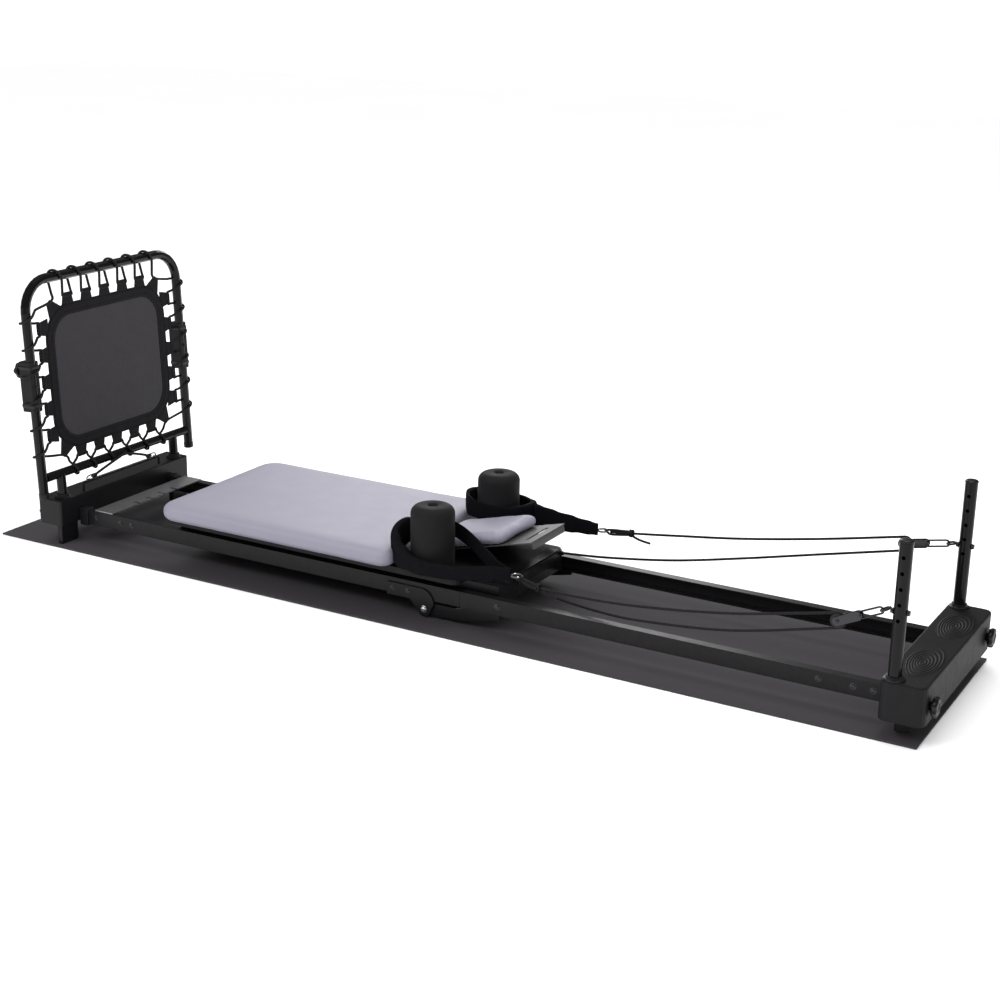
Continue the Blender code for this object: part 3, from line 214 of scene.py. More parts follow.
@dataclass(frozen=True)
class Finish:
    """One material: a mottled colour, an uneven gloss and a fine relief.

    The relief's pitch and depth are metres.
    """

    name: str
    slot: str
    colour: Colour
    roughness: float
    relief: Relief
    pitch: float
    depth: float
    mottle: float = 0.18
    lumps: float = 14.0
    metallic: float = 0.0
    specular: float = 0.4
    coat: float = 0.0
    sheen: float = 0.0
    wear: float = 0.0

    def height(self, graph: Graph) -> bpy.types.NodeSocket:
        """The relief's height from 0 to 1.

        Args:
            graph: The material's node tree.

        Returns:
            A socket with the height.
        """
        scale = 1.0 / self.pitch
        if self.relief is Relief.ORANGE_PEEL:
            return graph.noise(scale, 2.0)
        if self.relief is Relief.GRAIN:
            return graph.maths("ADD", graph.cells(scale), graph.noise(scale * 2.3, 3.0))
        if self.relief is Relief.PEBBLE:
            return graph.maths("SUBTRACT", 1.0, graph.cells(scale, "SMOOTH_F1"))
        if self.relief is Relief.PORES:
            pores = graph.maths("GREATER_THAN", graph.cells(scale), 0.22)
            return graph.maths("MULTIPLY_ADD", graph.noise(scale * 0.5, 4.0), 0.6, pores)
        if self.relief is Relief.CREASES:
            edge = graph.cells(scale, "DISTANCE_TO_EDGE")
            return graph.maths("MINIMUM", graph.maths("MULTIPLY", edge, 6.0), 1.0)
        if self.relief is Relief.BRUSHED:
            drawn = graph.add("ShaderNodeMapping", {"Vector": graph.place, "Scale": (1.0, 60.0, 60.0)})
            return graph.noise(scale / 60.0, 4.0, drawn)
        parts = self.lengthways(graph)
        if self.relief is Relief.RIBS:
            rib = graph.wave(parts[1], self.pitch)
            thread = graph.wave(parts[0], self.pitch * 0.6)
            return graph.maths("MULTIPLY_ADD", thread, 0.4, rib)
        total = graph.maths("ADD", parts[0], parts[1])
        rest = graph.maths("SUBTRACT", parts[0], parts[1])
        one, other = graph.wave(total, self.pitch), graph.wave(rest, self.pitch)
        if self.relief is Relief.BRAID:
            return graph.maths("MAXIMUM", one, other)
        fine = graph.wave(parts[0], self.pitch * 0.22)
        return graph.maths("MULTIPLY_ADD", graph.maths("MULTIPLY", fine, other), 0.3, one)

    def lengthways(self, graph: Graph) -> tuple[bpy.types.NodeSocket, bpy.types.NodeSocket]:
        """The piece's own length and width coordinates, in metres."""
        node = graph.tree.nodes.new("ShaderNodeSeparateXYZ")
        graph.tree.links.new(graph.uv, node.inputs[0])
        return node.outputs[0], node.outputs[1]

    def material(self) -> bpy.types.Material:
        """The finish's material, made once."""
        if self.name in bpy.data.materials:
            return bpy.data.materials[self.name]
        graph = Graph(self.name)
        shader = graph.shader
        shader.inputs["Metallic"].default_value = self.metallic
        shader.inputs["Specular IOR Level"].default_value = self.specular
        shader.inputs["Coat Weight"].default_value = self.coat
        shader.inputs["Coat Roughness"].default_value = 0.12
        shader.inputs["Sheen Weight"].default_value = self.sheen
        shader.inputs["Sheen Roughness"].default_value = 0.4
        dark = tuple(c * (1 - self.mottle) for c in self.colour)
        light = tuple(c * (1 + self.mottle) for c in self.colour)
        colour = graph.mix(graph.noise(self.lumps, 5.0), dark, light)
        height = self.height(graph)
        if self.wear:
            edge = graph.add("ShaderNodeNewGeometry", {}, "Pointiness")
            worn = graph.add("ShaderNodeMapRange", {"Value": edge, "From Min": 0.56, "From Max": 0.70})
            worn = graph.maths("MULTIPLY", worn, graph.noise(90.0, 3.0))
            share = graph.maths("MULTIPLY", worn, self.wear)
            bright = tuple(min(1.0, c * 4 + 0.03) for c in self.colour)
            mixed = graph.add("ShaderNodeMix", {0: share, 6: colour, 7: (*bright, 1.0)}, 2,
                              data_type="RGBA")
            colour = mixed
        # Painted highlight and shade: woven, ribbed and braided reliefs get a lighter colour where the relief
        # stands high and keep the darker base colour in its grooves.
        if self.relief in (Relief.WEAVE, Relief.RIBS, Relief.BRAID):
            lit = tuple(c * 1.5 for c in self.colour)
            shade = graph.maths("MULTIPLY", height, 0.55)
            colour = graph.add("ShaderNodeMix", {0: shade, 6: colour, 7: (*lit, 1.0)}, 2,
                               data_type="RGBA")
        graph.tree.links.new(colour, shader.inputs["Base Color"])
        smooth = graph.spread(graph.noise(self.lumps * 3.1, 4.0), self.roughness * 0.85,
                              min(1.0, self.roughness * 1.15))
        graph.tree.links.new(smooth, shader.inputs["Roughness"])
        bump = graph.add("ShaderNodeBump", {"Height": height, "Distance": self.depth, "Strength": 0.7},
                         "Normal")
        graph.tree.links.new(bump, shader.inputs["Normal"])
        return graph.material


POWDER = Finish("powder_coat", "steel", (0.0052, 0.0052, 0.0060), 0.34, Relief.ORANGE_PEEL, 0.0022,
                0.00006, wear=0.2, specular=0.18)
GLOSS = Finish("gloss_coat", "steel", (0.0042, 0.0042, 0.0048), 0.20, Relief.ORANGE_PEEL, 0.004, 0.00003,
               specular=0.16, coat=0.05)
SATIN_PLATE = Finish("satin_plate", "steel", (0.085, 0.085, 0.086), 0.46, Relief.BRUSHED, 0.0016, 0.00004,
                     metallic=0.5)
CHROME = Finish("bright_chrome", "chrome", (0.78, 0.78, 0.80), 0.10, Relief.ORANGE_PEEL, 0.006, 0.00001,
                metallic=1.0, mottle=0.04)
ZINC = Finish("zinc_plate", "zinc", (0.34, 0.34, 0.35), 0.38, Relief.BRUSHED, 0.0015, 0.00004,
              metallic=0.9, mottle=0.15)
DARK_STEEL = Finish("oxide_steel", "dark_steel", (0.050, 0.050, 0.054), 0.30, Relief.ORANGE_PEEL, 0.002,
                    0.00003, metallic=0.9, wear=0.6)
MOULDED = Finish("moulded_plastic", "plastic", (0.0078, 0.0076, 0.0088), 0.55, Relief.GRAIN, 0.0011,
                 0.00009, specular=0.18)
KNOB_PLASTIC = Finish("knob_plastic", "plastic", (0.0060, 0.0060, 0.0068), 0.36, Relief.GRAIN, 0.0009,
                      0.00004, specular=0.28)
RUBBER = Finish("tyre_rubber", "rubber", (0.014, 0.014, 0.015), 0.75, Relief.PORES, 0.0012, 0.00006,
                specular=0.2)
FOAM = Finish("foam_sleeve", "foam", (0.0092, 0.0092, 0.0100), 0.70, Relief.PORES, 0.0007, 0.00010,
              specular=0.14, sheen=0.03)
MAT = Finish("mat_vinyl", "mat_vinyl", (0.0085, 0.0078, 0.0092), 0.50, Relief.PEBBLE, 0.0016, 0.00022,
             mottle=0.12, specular=0.10)
VINYL = Finish("lilac_vinyl", "upholstery", (0.226, 0.217, 0.268), 0.50, Relief.CREASES, 0.0013, 0.00006,
               mottle=0.035, lumps=6.0, specular=0.35, sheen=0.05)
MESH = Finish("mesh_weave", "mesh_fabric", (0.030, 0.028, 0.032), 0.72, Relief.WEAVE, 0.0080, 0.00030,
              mottle=0.10, specular=0.2)
BORDER = Finish("border_webbing", "webbing", (0.0052, 0.0050, 0.0062), 0.78, Relief.RIBS, 0.0022, 0.00015,
                specular=0.2)
WEBBING = Finish("strap_webbing", "webbing", (0.0030, 0.0028, 0.0042), 0.80, Relief.RIBS, 0.0024, 0.00020,
                 specular=0.08)
BRAID = Finish("rope_braid", "rope", (0.0062, 0.0062, 0.0070), 0.72, Relief.BRAID, 0.0042, 0.00025,
               specular=0.25)


def spline(points: Sequence[Point], spacing: float, closed: bool = False) -> np.ndarray:
    """Even points along a smooth curve through given points.

    Between points b and c, with a before and d after, the curve at t is
    (2b + (c - a)t + (2a - 5b + 4c - d)t^2 + (3b - a - 3c + d)t^3) / 2. An open curve mirrors its end points.

    Args:
        points: The points that the curve passes.
        spacing: Distance between the even points.
        closed: Whether the curve returns to its start.

    Returns:
        An array of points, n by 3; a closed curve's first point isn't repeated.
    """
    spots = np.array(points, float)
    if closed:
        spots = np.vstack([spots[-1], spots, spots[:2]])
    else:
        spots = np.vstack([2 * spots[0] - spots[1], spots, 2 * spots[-1] - spots[-2]])
    a, b, c, d = spots[:-3, None], spots[1:-2, None], spots[2:-1, None], spots[3:, None]
    t = np.linspace(0, 1, 24, endpoint=False)[None, :, None]
    dense = 0.5 * (2 * b + (c - a) * t + (2 * a - 5 * b + 4 * c - d) * t**2
                   + (3 * b - a - 3 * c + d) * t**3)
    dense = np.vstack([dense.reshape(-1, 3), spots[-2]])
    length = np.concatenate([[0], np.cumsum(np.linalg.norm(np.diff(dense, axis=0), axis=1))])
    count = max(3, round(length[-1] / spacing)) + 1
    even = np.linspace(0, length[-1], count)
    route = np.stack([np.interp(even, length, dense[:, k]) for k in range(3)], axis=1)
    return route[:-1] if closed else route


def circle(radius: float, sides: int = 12) -> np.ndarray:
    """A round section of points (radius cos a, radius sin a)."""
    a = np.linspace(0, 2 * math.pi, sides, endpoint=False)
    return radius * np.stack([np.cos(a), np.sin(a)], axis=1)


def strap_section(width: float, thickness: float, sides: int = 24) -> np.ndarray:
    """A flat section with round corners: half width times |cos a|^0.5, half thickness times |sin a|^0.5."""
    a = np.linspace(0, 2 * math.pi, sides, endpoint=False)
    c, s = np.cos(a), np.sin(a)
    across = np.sign(c) * np.abs(c) ** 0.5 * width / 2
    return np.stack([across, np.sign(s) * np.abs(s) ** 0.5 * thickness / 2], axis=1)


def rounded_outline(width: float, height: float, radius: float, steps: int = 8) -> np.ndarray:
    """A rectangle's outline with round corners, about its middle, turning left."""
    a = np.linspace(0, math.pi / 2, steps + 1)
    arc = radius * np.stack([np.cos(a), np.sin(a)], axis=1)
    centre = np.array([width / 2 - radius, height / 2 - radius])
    rows = []
    for k in range(4):
        turn = np.array([[math.cos(k * math.pi / 2), math.sin(k * math.pi / 2)],
                         [-math.sin(k * math.pi / 2), math.cos(k * math.pi / 2)]])
        spot = centre * np.array([(1, 1), (-1, 1), (-1, -1), (1, -1)][k])
        rows.append(spot + arc @ turn)
    return np.vstack(rows)


def inset(outline: np.ndarray, distance: np.ndarray) -> np.ndarray:
    """Outlines moved inwards along their corner normals.

    Args:
        outline: Points turning left, m by 2.
        distance: How far each copy moves, n.

    Returns:
        The copies, n by m by 2.
    """
    ahead = np.roll(outline, -1, axis=0) - outline
    behind = outline - np.roll(outline, 1, axis=0)
    ahead /= np.maximum(np.linalg.norm(ahead, axis=1, keepdims=True), 1e-9)
    behind /= np.maximum(np.linalg.norm(behind, axis=1, keepdims=True), 1e-9)
    along = ahead + behind
    along /= np.maximum(np.linalg.norm(along, axis=1, keepdims=True), 1e-9)
    inward = np.stack([-along[:, 1], along[:, 0]], axis=1)
    return outline[None] + np.asarray(distance)[:, None, None] * inward[None]


@dataclass(frozen=True)
class Place:
    """A flat piece's place: its middle and its three directions."""

    middle: Point
    right: Point = (1.0, 0.0, 0.0)
    up: Point = (0.0, 1.0, 0.0)

    def put(self, flat: np.ndarray, height: np.ndarray | float) -> np.ndarray:
        """Flat points (u, v) and a height h, carried to middle + u right + v up + h out."""
        right, up = np.array(self.right), np.array(self.up)
        out = np.cross(right, up)
        high = np.broadcast_to(height, flat.shape[:-1])
        return np.array(self.middle) + flat[..., :1] * right + flat[..., 1:] * up + high[..., None] * out


class Shape:
    """Grids of points gathered into one piece of the machine."""

    def __init__(self) -> None:
        """Start with nothing."""
        self.points: list[np.ndarray] = []
        self.faces: list[list[int]] = []
        self.uv: list[np.ndarray] = []
        self.count = 0

    def grid(self, grid: np.ndarray, closed: bool = False, capped: bool = True) -> "Shape":
        """Add a surface of rows and columns.

        Every four neighbouring points make a face. Columns run round and close; the piece's own coordinates
        are the lengths along and round the surface.

        Args:
            grid: Points, rows by columns by 3.
            closed: Whether the last row joins the first.
            capped: Whether the first and last rows are closed by flat faces.

        Returns:
            The same shape.
        """
        rows, columns = grid.shape[:2]
        last = rows if closed else rows - 1
        r, c = np.meshgrid(np.arange(last), np.arange(columns), indexing="ij")
        r2, c2 = (r + 1) % rows, (c + 1) % columns
        quads = np.stack([r * columns + c, r * columns + c2, r2 * columns + c2, r2 * columns + c], axis=-1)
        along = np.concatenate([[0], np.cumsum(np.linalg.norm(
            np.diff(np.vstack([grid, grid[:1]]).mean(axis=1), axis=0), axis=1))])
        girth = np.linalg.norm(np.diff(np.hstack([grid, grid[:, :1]]), axis=1), axis=2).max(axis=0)
        round_it = np.concatenate([[0], np.cumsum(girth)])
        u = np.stack([along[r], along[r], along[r + 1], along[r + 1]], axis=-1)
        v = np.stack([round_it[c], round_it[c + 1], round_it[c + 1], round_it[c]], axis=-1)
        self.uv.append(np.stack([u, v], axis=-1).reshape(-1, 2))
        self.faces += (quads.reshape(-1, 4) + self.count).tolist()
        if capped and not closed:
            for row, order in ((0, -1), (rows - 1, 1)):
                ring = (np.arange(columns)[::order] + row * columns + self.count).tolist()
                self.faces.append(ring)
                self.uv.append(grid[row][::order, :2])
        self.points.append(grid.reshape(-1, 3))
        self.count += rows * columns
        return self

    def sweep(self, path: np.ndarray, section: np.ndarray, across: np.ndarray | Point,
              closed: bool = False) -> "Shape":
        """Add a section carried along a path.

        At each point the section's first axis is the given direction made square to the path, and its second
        axis is square to both.

        Args:
            path: The points, n by 3.
            section: One section, m by 2, or one for each point, n by m by 2.
            across: The direction of the section's first axis, once or for each point.
            closed: Whether the path returns to its start.

        Returns:
            The same shape.
        """
        if closed:
            along = np.roll(path, -1, axis=0) - np.roll(path, 1, axis=0)
        else:
            along = np.gradient(path, axis=0)
        along = along / np.linalg.norm(along, axis=1, keepdims=True)
        side = np.broadcast_to(np.array(across, float), path.shape)
        side = side - (side * along).sum(axis=1, keepdims=True) * along
        side = side / np.linalg.norm(side, axis=1, keepdims=True)
        up = np.cross(along, side)
        shape = section if section.ndim == 3 else np.broadcast_to(section, (len(path), *section.shape))
        points = path[:, None] + shape[..., :1] * side[:, None] + shape[..., 1:] * up[:, None]
        return self.grid(points, closed)

    def turned(self, profile: np.ndarray, centre: Point, axis: Point, sides: int = 48,
               lobes: int = 0, swell: float = 0.0) -> "Shape":
        """Add a profile turned about an axis.

        A point of radius r and height h at angle a lies at centre + h axis + r (1 + swell cos(lobes a)).

        Args:
            profile: Radii and heights, n by 2.
            centre: Where height 0 is.
            axis: The direction of height.
            sides: Points round the turn.
            lobes: How many lobes the rim has.
            swell: How far a lobe stands out, as a share of the radius.

        Returns:
            The same shape.
        """
        out = np.array(axis, float) / np.linalg.norm(axis)
        hint = np.array((0.0, 0.0, 1.0)) if abs(out[2]) < 0.9 else np.array((1.0, 0.0, 0.0))
        right = np.cross(hint, out)
        right = right / np.linalg.norm(right)
        up = np.cross(out, right)
        a = np.linspace(0, 2 * math.pi, sides, endpoint=False)
        factor = 1 + swell * np.cos(lobes * a)
        reach = profile[:, :1] * factor[None]
        ring = reach[..., None] * (np.cos(a)[:, None] * right + np.sin(a)[:, None] * up)[None]
        points = np.array(centre) + profile[:, 1, None, None] * out + ring
        return self.grid(points)

    def slab(self, outline: np.ndarray, thickness: float, edge: float, place: Place) -> "Shape":
        """Add a plate whose outline is drawn in by edge (1 - sin a) towards each of its two faces."""
        a = np.linspace(0, math.pi / 2, 5)
        draw = edge * (1 - np.sin(a))
        rise = edge * (1 - np.cos(a))
        heights = np.concatenate([-thickness / 2 + rise, thickness / 2 - rise[::-1]])
        rows = inset(outline, np.concatenate([draw, draw[::-1]]))
        return self.grid(place.put(rows, heights[:, None]))

    def pierced(self, outer: np.ndarray, inner: np.ndarray, thickness: float, place: Place) -> "Shape":
        """Add a plate with one hole, from two outlines of the same number of points."""
        half = thickness / 2
        rows = np.stack([outer, outer, inner, inner])
        heights = np.array([-half, half, half, -half])
        return self.grid(place.put(rows, heights[:, None]), closed=True)

    def piece(self, name: str, finish: Finish, body: str | None, smooth: float = 38.0) -> bpy.types.Object:
        """Make the object.

        Args:
            name: The piece's name.
            finish: Its finish.
            body: The CAD body that it rides on, or None for no body.
            smooth: The angle in degrees above which an edge stays sharp.

        Returns:
            The finished object, at the origin.
        """
        mesh = bpy.data.meshes.new(name)
        mesh.from_pydata(np.vstack(self.points), [], self.faces)
        layer = mesh.uv_layers.new(name="own")
        layer.data.foreach_set("uv", np.vstack(self.uv).astype(np.float32).ravel())
        work = bmesh.new()
        work.from_mesh(mesh)
        bmesh.ops.remove_doubles(work, verts=work.verts, dist=0.000002)
        bmesh.ops.recalc_face_normals(work, faces=work.faces)
        work.to_mesh(mesh)
        work.free()
        mesh.shade_smooth()
        mesh.set_sharp_from_angle(angle=math.radians(smooth))
        made = bpy.data.objects.new(name, mesh)
        bpy.context.scene.collection.objects.link(made)
        return dress(made, finish, body)


def dress(made: bpy.types.Object, finish: Finish, body: str | None) -> bpy.types.Object:
    """Give a new piece its finish and its body."""
    made.data.materials.clear()
    made.data.materials.append(finish.material())
    if body:
        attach(made, body)
    LOG.info("%s: %d faces on %s", made.name, len(made.data.polygons), body)
    return made


def repaint(finish: Finish, *nodes: str) -> None:
    """Give CAD nodes a finish in their material slots."""
    for node in nodes:
        made = bpy.data.objects[node]
        made.data.materials.clear()
        made.data.materials.append(finish.material())


def middle(node: str) -> np.ndarray:
    """The middle of a CAD node's box."""
    low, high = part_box(node)
    return (np.array(low) + np.array(high)) / 2


def bolt_profile(radius: float, height: float) -> np.ndarray:
    """A low domed bolt head on a washer, as radii and heights."""
    washer = radius * 1.45
    return np.array([(0, 0), (washer, 0), (washer, height * 0.22), (radius, height * 0.25),
                     (radius, height * 0.7), (radius * 0.86, height * 0.92), (radius * 0.5, height),
                     (radius * 0.42, height * 0.7), (0, height * 0.66)])


def knob_profile(radius: float, depth: float) -> np.ndarray:
    """A hand knob's radii and heights, from its back to a dished face."""
    return np.array([(0, 0), (radius * 0.45, 0), (radius * 0.5, depth * 0.18), (radius * 0.86, depth * 0.24),
                     (radius * 0.98, depth * 0.36), (radius, depth * 0.55), (radius * 0.96, depth * 0.80),
                     (radius * 0.84, depth * 0.95), (radius * 0.62, depth), (radius * 0.42, depth * 0.90),
                     (radius * 0.36, depth * 0.86), (0, depth * 0.86)])


def knob(name: str, node: str, body: str, facing: int, lobes: int) -> bpy.types.Object:
    """A lobed knob in place of a plain CAD one.

    Args:
        name: The piece's name.
        node: The CAD knob that it stands for.
        body: The body that turns it.
        facing: The sign of X that its face looks to.
        lobes: How many lobes its rim has.

    Returns:
        The knob.
    """
    low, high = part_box(node)
    radius = (high.z - low.z) / 2
    swell = 0.085
    back = high.x - 0.018 if facing > 0 else low.x + 0.018
    centre = (back + facing * 0.0006, (low.y + high.y) / 2, (low.z + high.z) / 2)
    profile = knob_profile(radius / (1 + swell), KNOB_DEPTH)
    shape = Shape().turned(profile, centre, (facing, 0, 0), 96, lobes, swell)
    stem = np.array([(0, -0.0095), (0.0045, -0.0095), (0.0045, 0.001), (0, 0.001)])
    shape.turned(stem, centre, (facing, 0, 0), 24)
    made = shape.piece(name, KNOB_PLASTIC, body, 45.0)
    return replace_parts(made, node)


@dataclass
class Studio:
    """The camera, the pale floor and the soft light."""

    lens: float = 62.48
    sensor: float = 36.0
    azimuth: float = 29.333
    elevation: float = 17.722
    roll: float = 1.001
    target: Point = (0.060, 0.0, 0.258)
    distance: float = 4.110
    floor_drop: float = 0.0006
    sky_strength: float = 1.10
    sky_reflection: float = 0.16

    def camera(self) -> None:
        """Place the camera on its direction from the target, turned by its small roll."""
        a, e, r = (math.radians(v) for v in (self.azimuth, self.elevation, self.roll))
        back = np.array([math.sin(a) * math.cos(e), -math.cos(a) * math.cos(e), math.sin(e)])
        right = np.cross(-back, (0.0, 0.0, 1.0))
        right /= np.linalg.norm(right)
        up = np.cross(right, -back)
        turned = (right * math.cos(r) + up * math.sin(r), -right * math.sin(r) + up * math.cos(r), back)
        place = np.eye(4)
        place[:3, :3] = np.stack(turned, axis=1)
        place[:3, 3] = np.array(self.target) + back * self.distance
        data = bpy.data.cameras.new("camera")
        data.lens = self.lens
        data.sensor_width = self.sensor
        data.clip_start, data.clip_end = 0.05, 60.0
        made = bpy.data.objects.new("camera", data)
        made.matrix_world = Matrix(place.tolist())
        bpy.context.scene.collection.objects.link(made)
        bpy.context.scene.camera = made

    def lamp(self, name: str, place: Point, size: float, power: float) -> None:
        """A square soft light that looks at the machine's middle."""
        data = bpy.data.lights.new(name, "AREA")
        data.size = size
        data.energy = power
        made = bpy.data.objects.new(name, data)
        away = np.array(place) - np.array((0.0, 0.0, 0.2))
        direction = Matrix.Translation(place) @ _looking(away).to_4x4()
        made.matrix_world = direction
        made.visible_camera = False
        bpy.context.scene.collection.objects.link(made)

    def build(self) -> None:
        """Make the camera, the floor, the lights, and a sky that is dimmer in reflections than as light."""
        self.camera()
        half = FLOOR_HALF
        mesh = bpy.data.meshes.new("studio_floor")
        low = -self.floor_drop
        mesh.from_pydata([(-half, -half, low), (half, -half, low), (half, half, low), (-half, half, low)],
                         [], [(0, 1, 2, 3)])
        floor = bpy.data.objects.new("studio_floor", mesh)
        bpy.context.scene.collection.objects.link(floor)
        graph = Graph("studio_paper")
        graph.shader.inputs["Roughness"].default_value = 0.9
        graph.shader.inputs["Specular IOR Level"].default_value = 0.1
        tone = graph.mix(graph.noise(0.8, 2.0), (0.93, 0.93, 0.935), (0.96, 0.96, 0.96))
        graph.tree.links.new(tone, graph.shader.inputs["Base Color"])
        mesh.materials.append(graph.material)
        floor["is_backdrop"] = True
        world = bpy.data.worlds.new("studio_sky")
        world.use_nodes = True
        sky = world.node_tree.nodes["Background"]
        sky.inputs["Color"].default_value = (0.985, 0.985, 0.99, 1.0)
        rays = world.node_tree.nodes.new("ShaderNodeLightPath")
        dim = world.node_tree.nodes.new("ShaderNodeMapRange")
        dim.inputs["To Min"].default_value = self.sky_strength
        dim.inputs["To Max"].default_value = self.sky_reflection
        world.node_tree.links.new(rays.outputs["Is Glossy Ray"], dim.inputs["Value"])
        world.node_tree.links.new(dim.outputs[0], sky.inputs["Strength"])
        bpy.context.scene.world = world
        bpy.context.scene.view_settings.view_transform = "Standard"
        for name, place, size, power in LAMPS:
            self.lamp(name, place, size, power)


def _looking(away: np.ndarray) -> Matrix:
    """The turn of a light whose back points along a direction."""
    out = away / np.linalg.norm(away)
    right = np.cross((0.0, 0.0, 1.0), out)
    right /= np.linalg.norm(right)
    return Matrix(np.stack([right, np.cross(out, right), out], axis=1).tolist())


@dataclass
class FrameRails:
    """The mat, the rails, the hinge and the wheels as CAD nodes with a finish, and their bolts."""

    bolt_radius: float = 0.0050
    bolt_height: float = 0.0035

    def build(self) -> None:
        """Dress the CAD nodes and add the bolts."""
        repaint(MAT, "floor_mat")
        repaint(ZINC, "cord_anchor_plate")
        repaint(POWDER, "foot_box", "carriage_frame", "hook_bar")
        for side in Side:
            s = side.label
            repaint(POWDER, f"foot_rail_{s}", f"head_rail_{s}", f"hinge_plate_{s}", f"hinge_arm_{s}",
                    f"foot_leg_{s}")
            repaint(RUBBER, f"centre_wheel_{s}", f"head_foot_{s}")
            repaint(MOULDED, f"carriage_wheel_foot_{s}", f"carriage_wheel_head_{s}")
            self.bolts(side)
            self.hinge_bolt(side)

    def bolts(self, side: Side) -> None:
        """The bolt heads along one side's rails, on the outer face of the web."""
        for half, places in RAIL_BOLTS.items():
            low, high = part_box(f"{half}_rail_{side.label}")
            face = high.y if side is Side.FAR else low.y
            level = (low.z + high.z) / 2 + 0.002
            shape = Shape()
            for x in places:
                shape.turned(bolt_profile(self.bolt_radius, self.bolt_height), (x, face, level),
                             (0, side.value, 0), 20)
            shape.piece(f"{half}_rail_bolts_{side.label}", DARK_STEEL, f"{half}_half")

    def hinge_bolt(self, side: Side) -> None:
        """The bright bolt head and the two screws on one hinge plate."""
        low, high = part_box(f"hinge_plate_{side.label}")
        face = high.y if side is Side.FAR else low.y
        spot = middle(f"centre_wheel_{side.label}")
        shape = Shape().turned(bolt_profile(0.0062, 0.0045), (spot[0], face, spot[2]), (0, side.value, 0), 24)
        shape.piece(f"hinge_bolt_{side.label}", CHROME, "foot_half")
        shape = Shape()
        for x in (low.x + 0.016, low.x + 0.058):
            shape.turned(bolt_profile(0.0042, 0.0030), (x, face, high.z - 0.013), (0, side.value, 0), 20)
        shape.piece(f"hinge_plate_screws_{side.label}", DARK_STEEL, "foot_half")


@dataclass
class FootBox:
    """The collars round the rebounder's posts, the rail sockets and the hand knobs."""

    post_radius: float = 0.0125

    def build(self) -> None:
        """Make the collars, the knobs and the rail sockets."""
        low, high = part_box("foot_box")
        for side in Side:
            s = side.label
            knob(f"post_hand_knob_{s}", f"post_knob_{s}", f"post_knob_{s}", -1, 6)
            y = middle(f"post_knob_{s}")[1]
            x = REBOUNDER.point(0.0, y, high.z)[0]
            r = self.post_radius
            profile = np.array([(r + 0.0013, 0.0), (r + 0.009, 0.0), (r + 0.009, 0.0022),
                                (r + 0.0045, 0.0035), (r + 0.0035, 0.010), (r + 0.0013, 0.011),
                                (r + 0.0013, 0.0)])
            shape = Shape().turned(profile, (x, y, high.z + 0.0003), (0, 0, 1), 48)
            shape.piece(f"post_collar_{s}", MOULDED, "foot_half")
            web = middle(f"foot_rail_{s}")
            place = Place((high.x + 0.0145, web[1] + side.value * 0.003, 0.0655), (1, 0, 0), (0, 0, 1))
            socket = Shape().slab(rounded_outline(0.027, 0.046, 0.004), 0.026, 0.002, place)
            socket.piece(f"rail_socket_{s}", MOULDED, "foot_half")


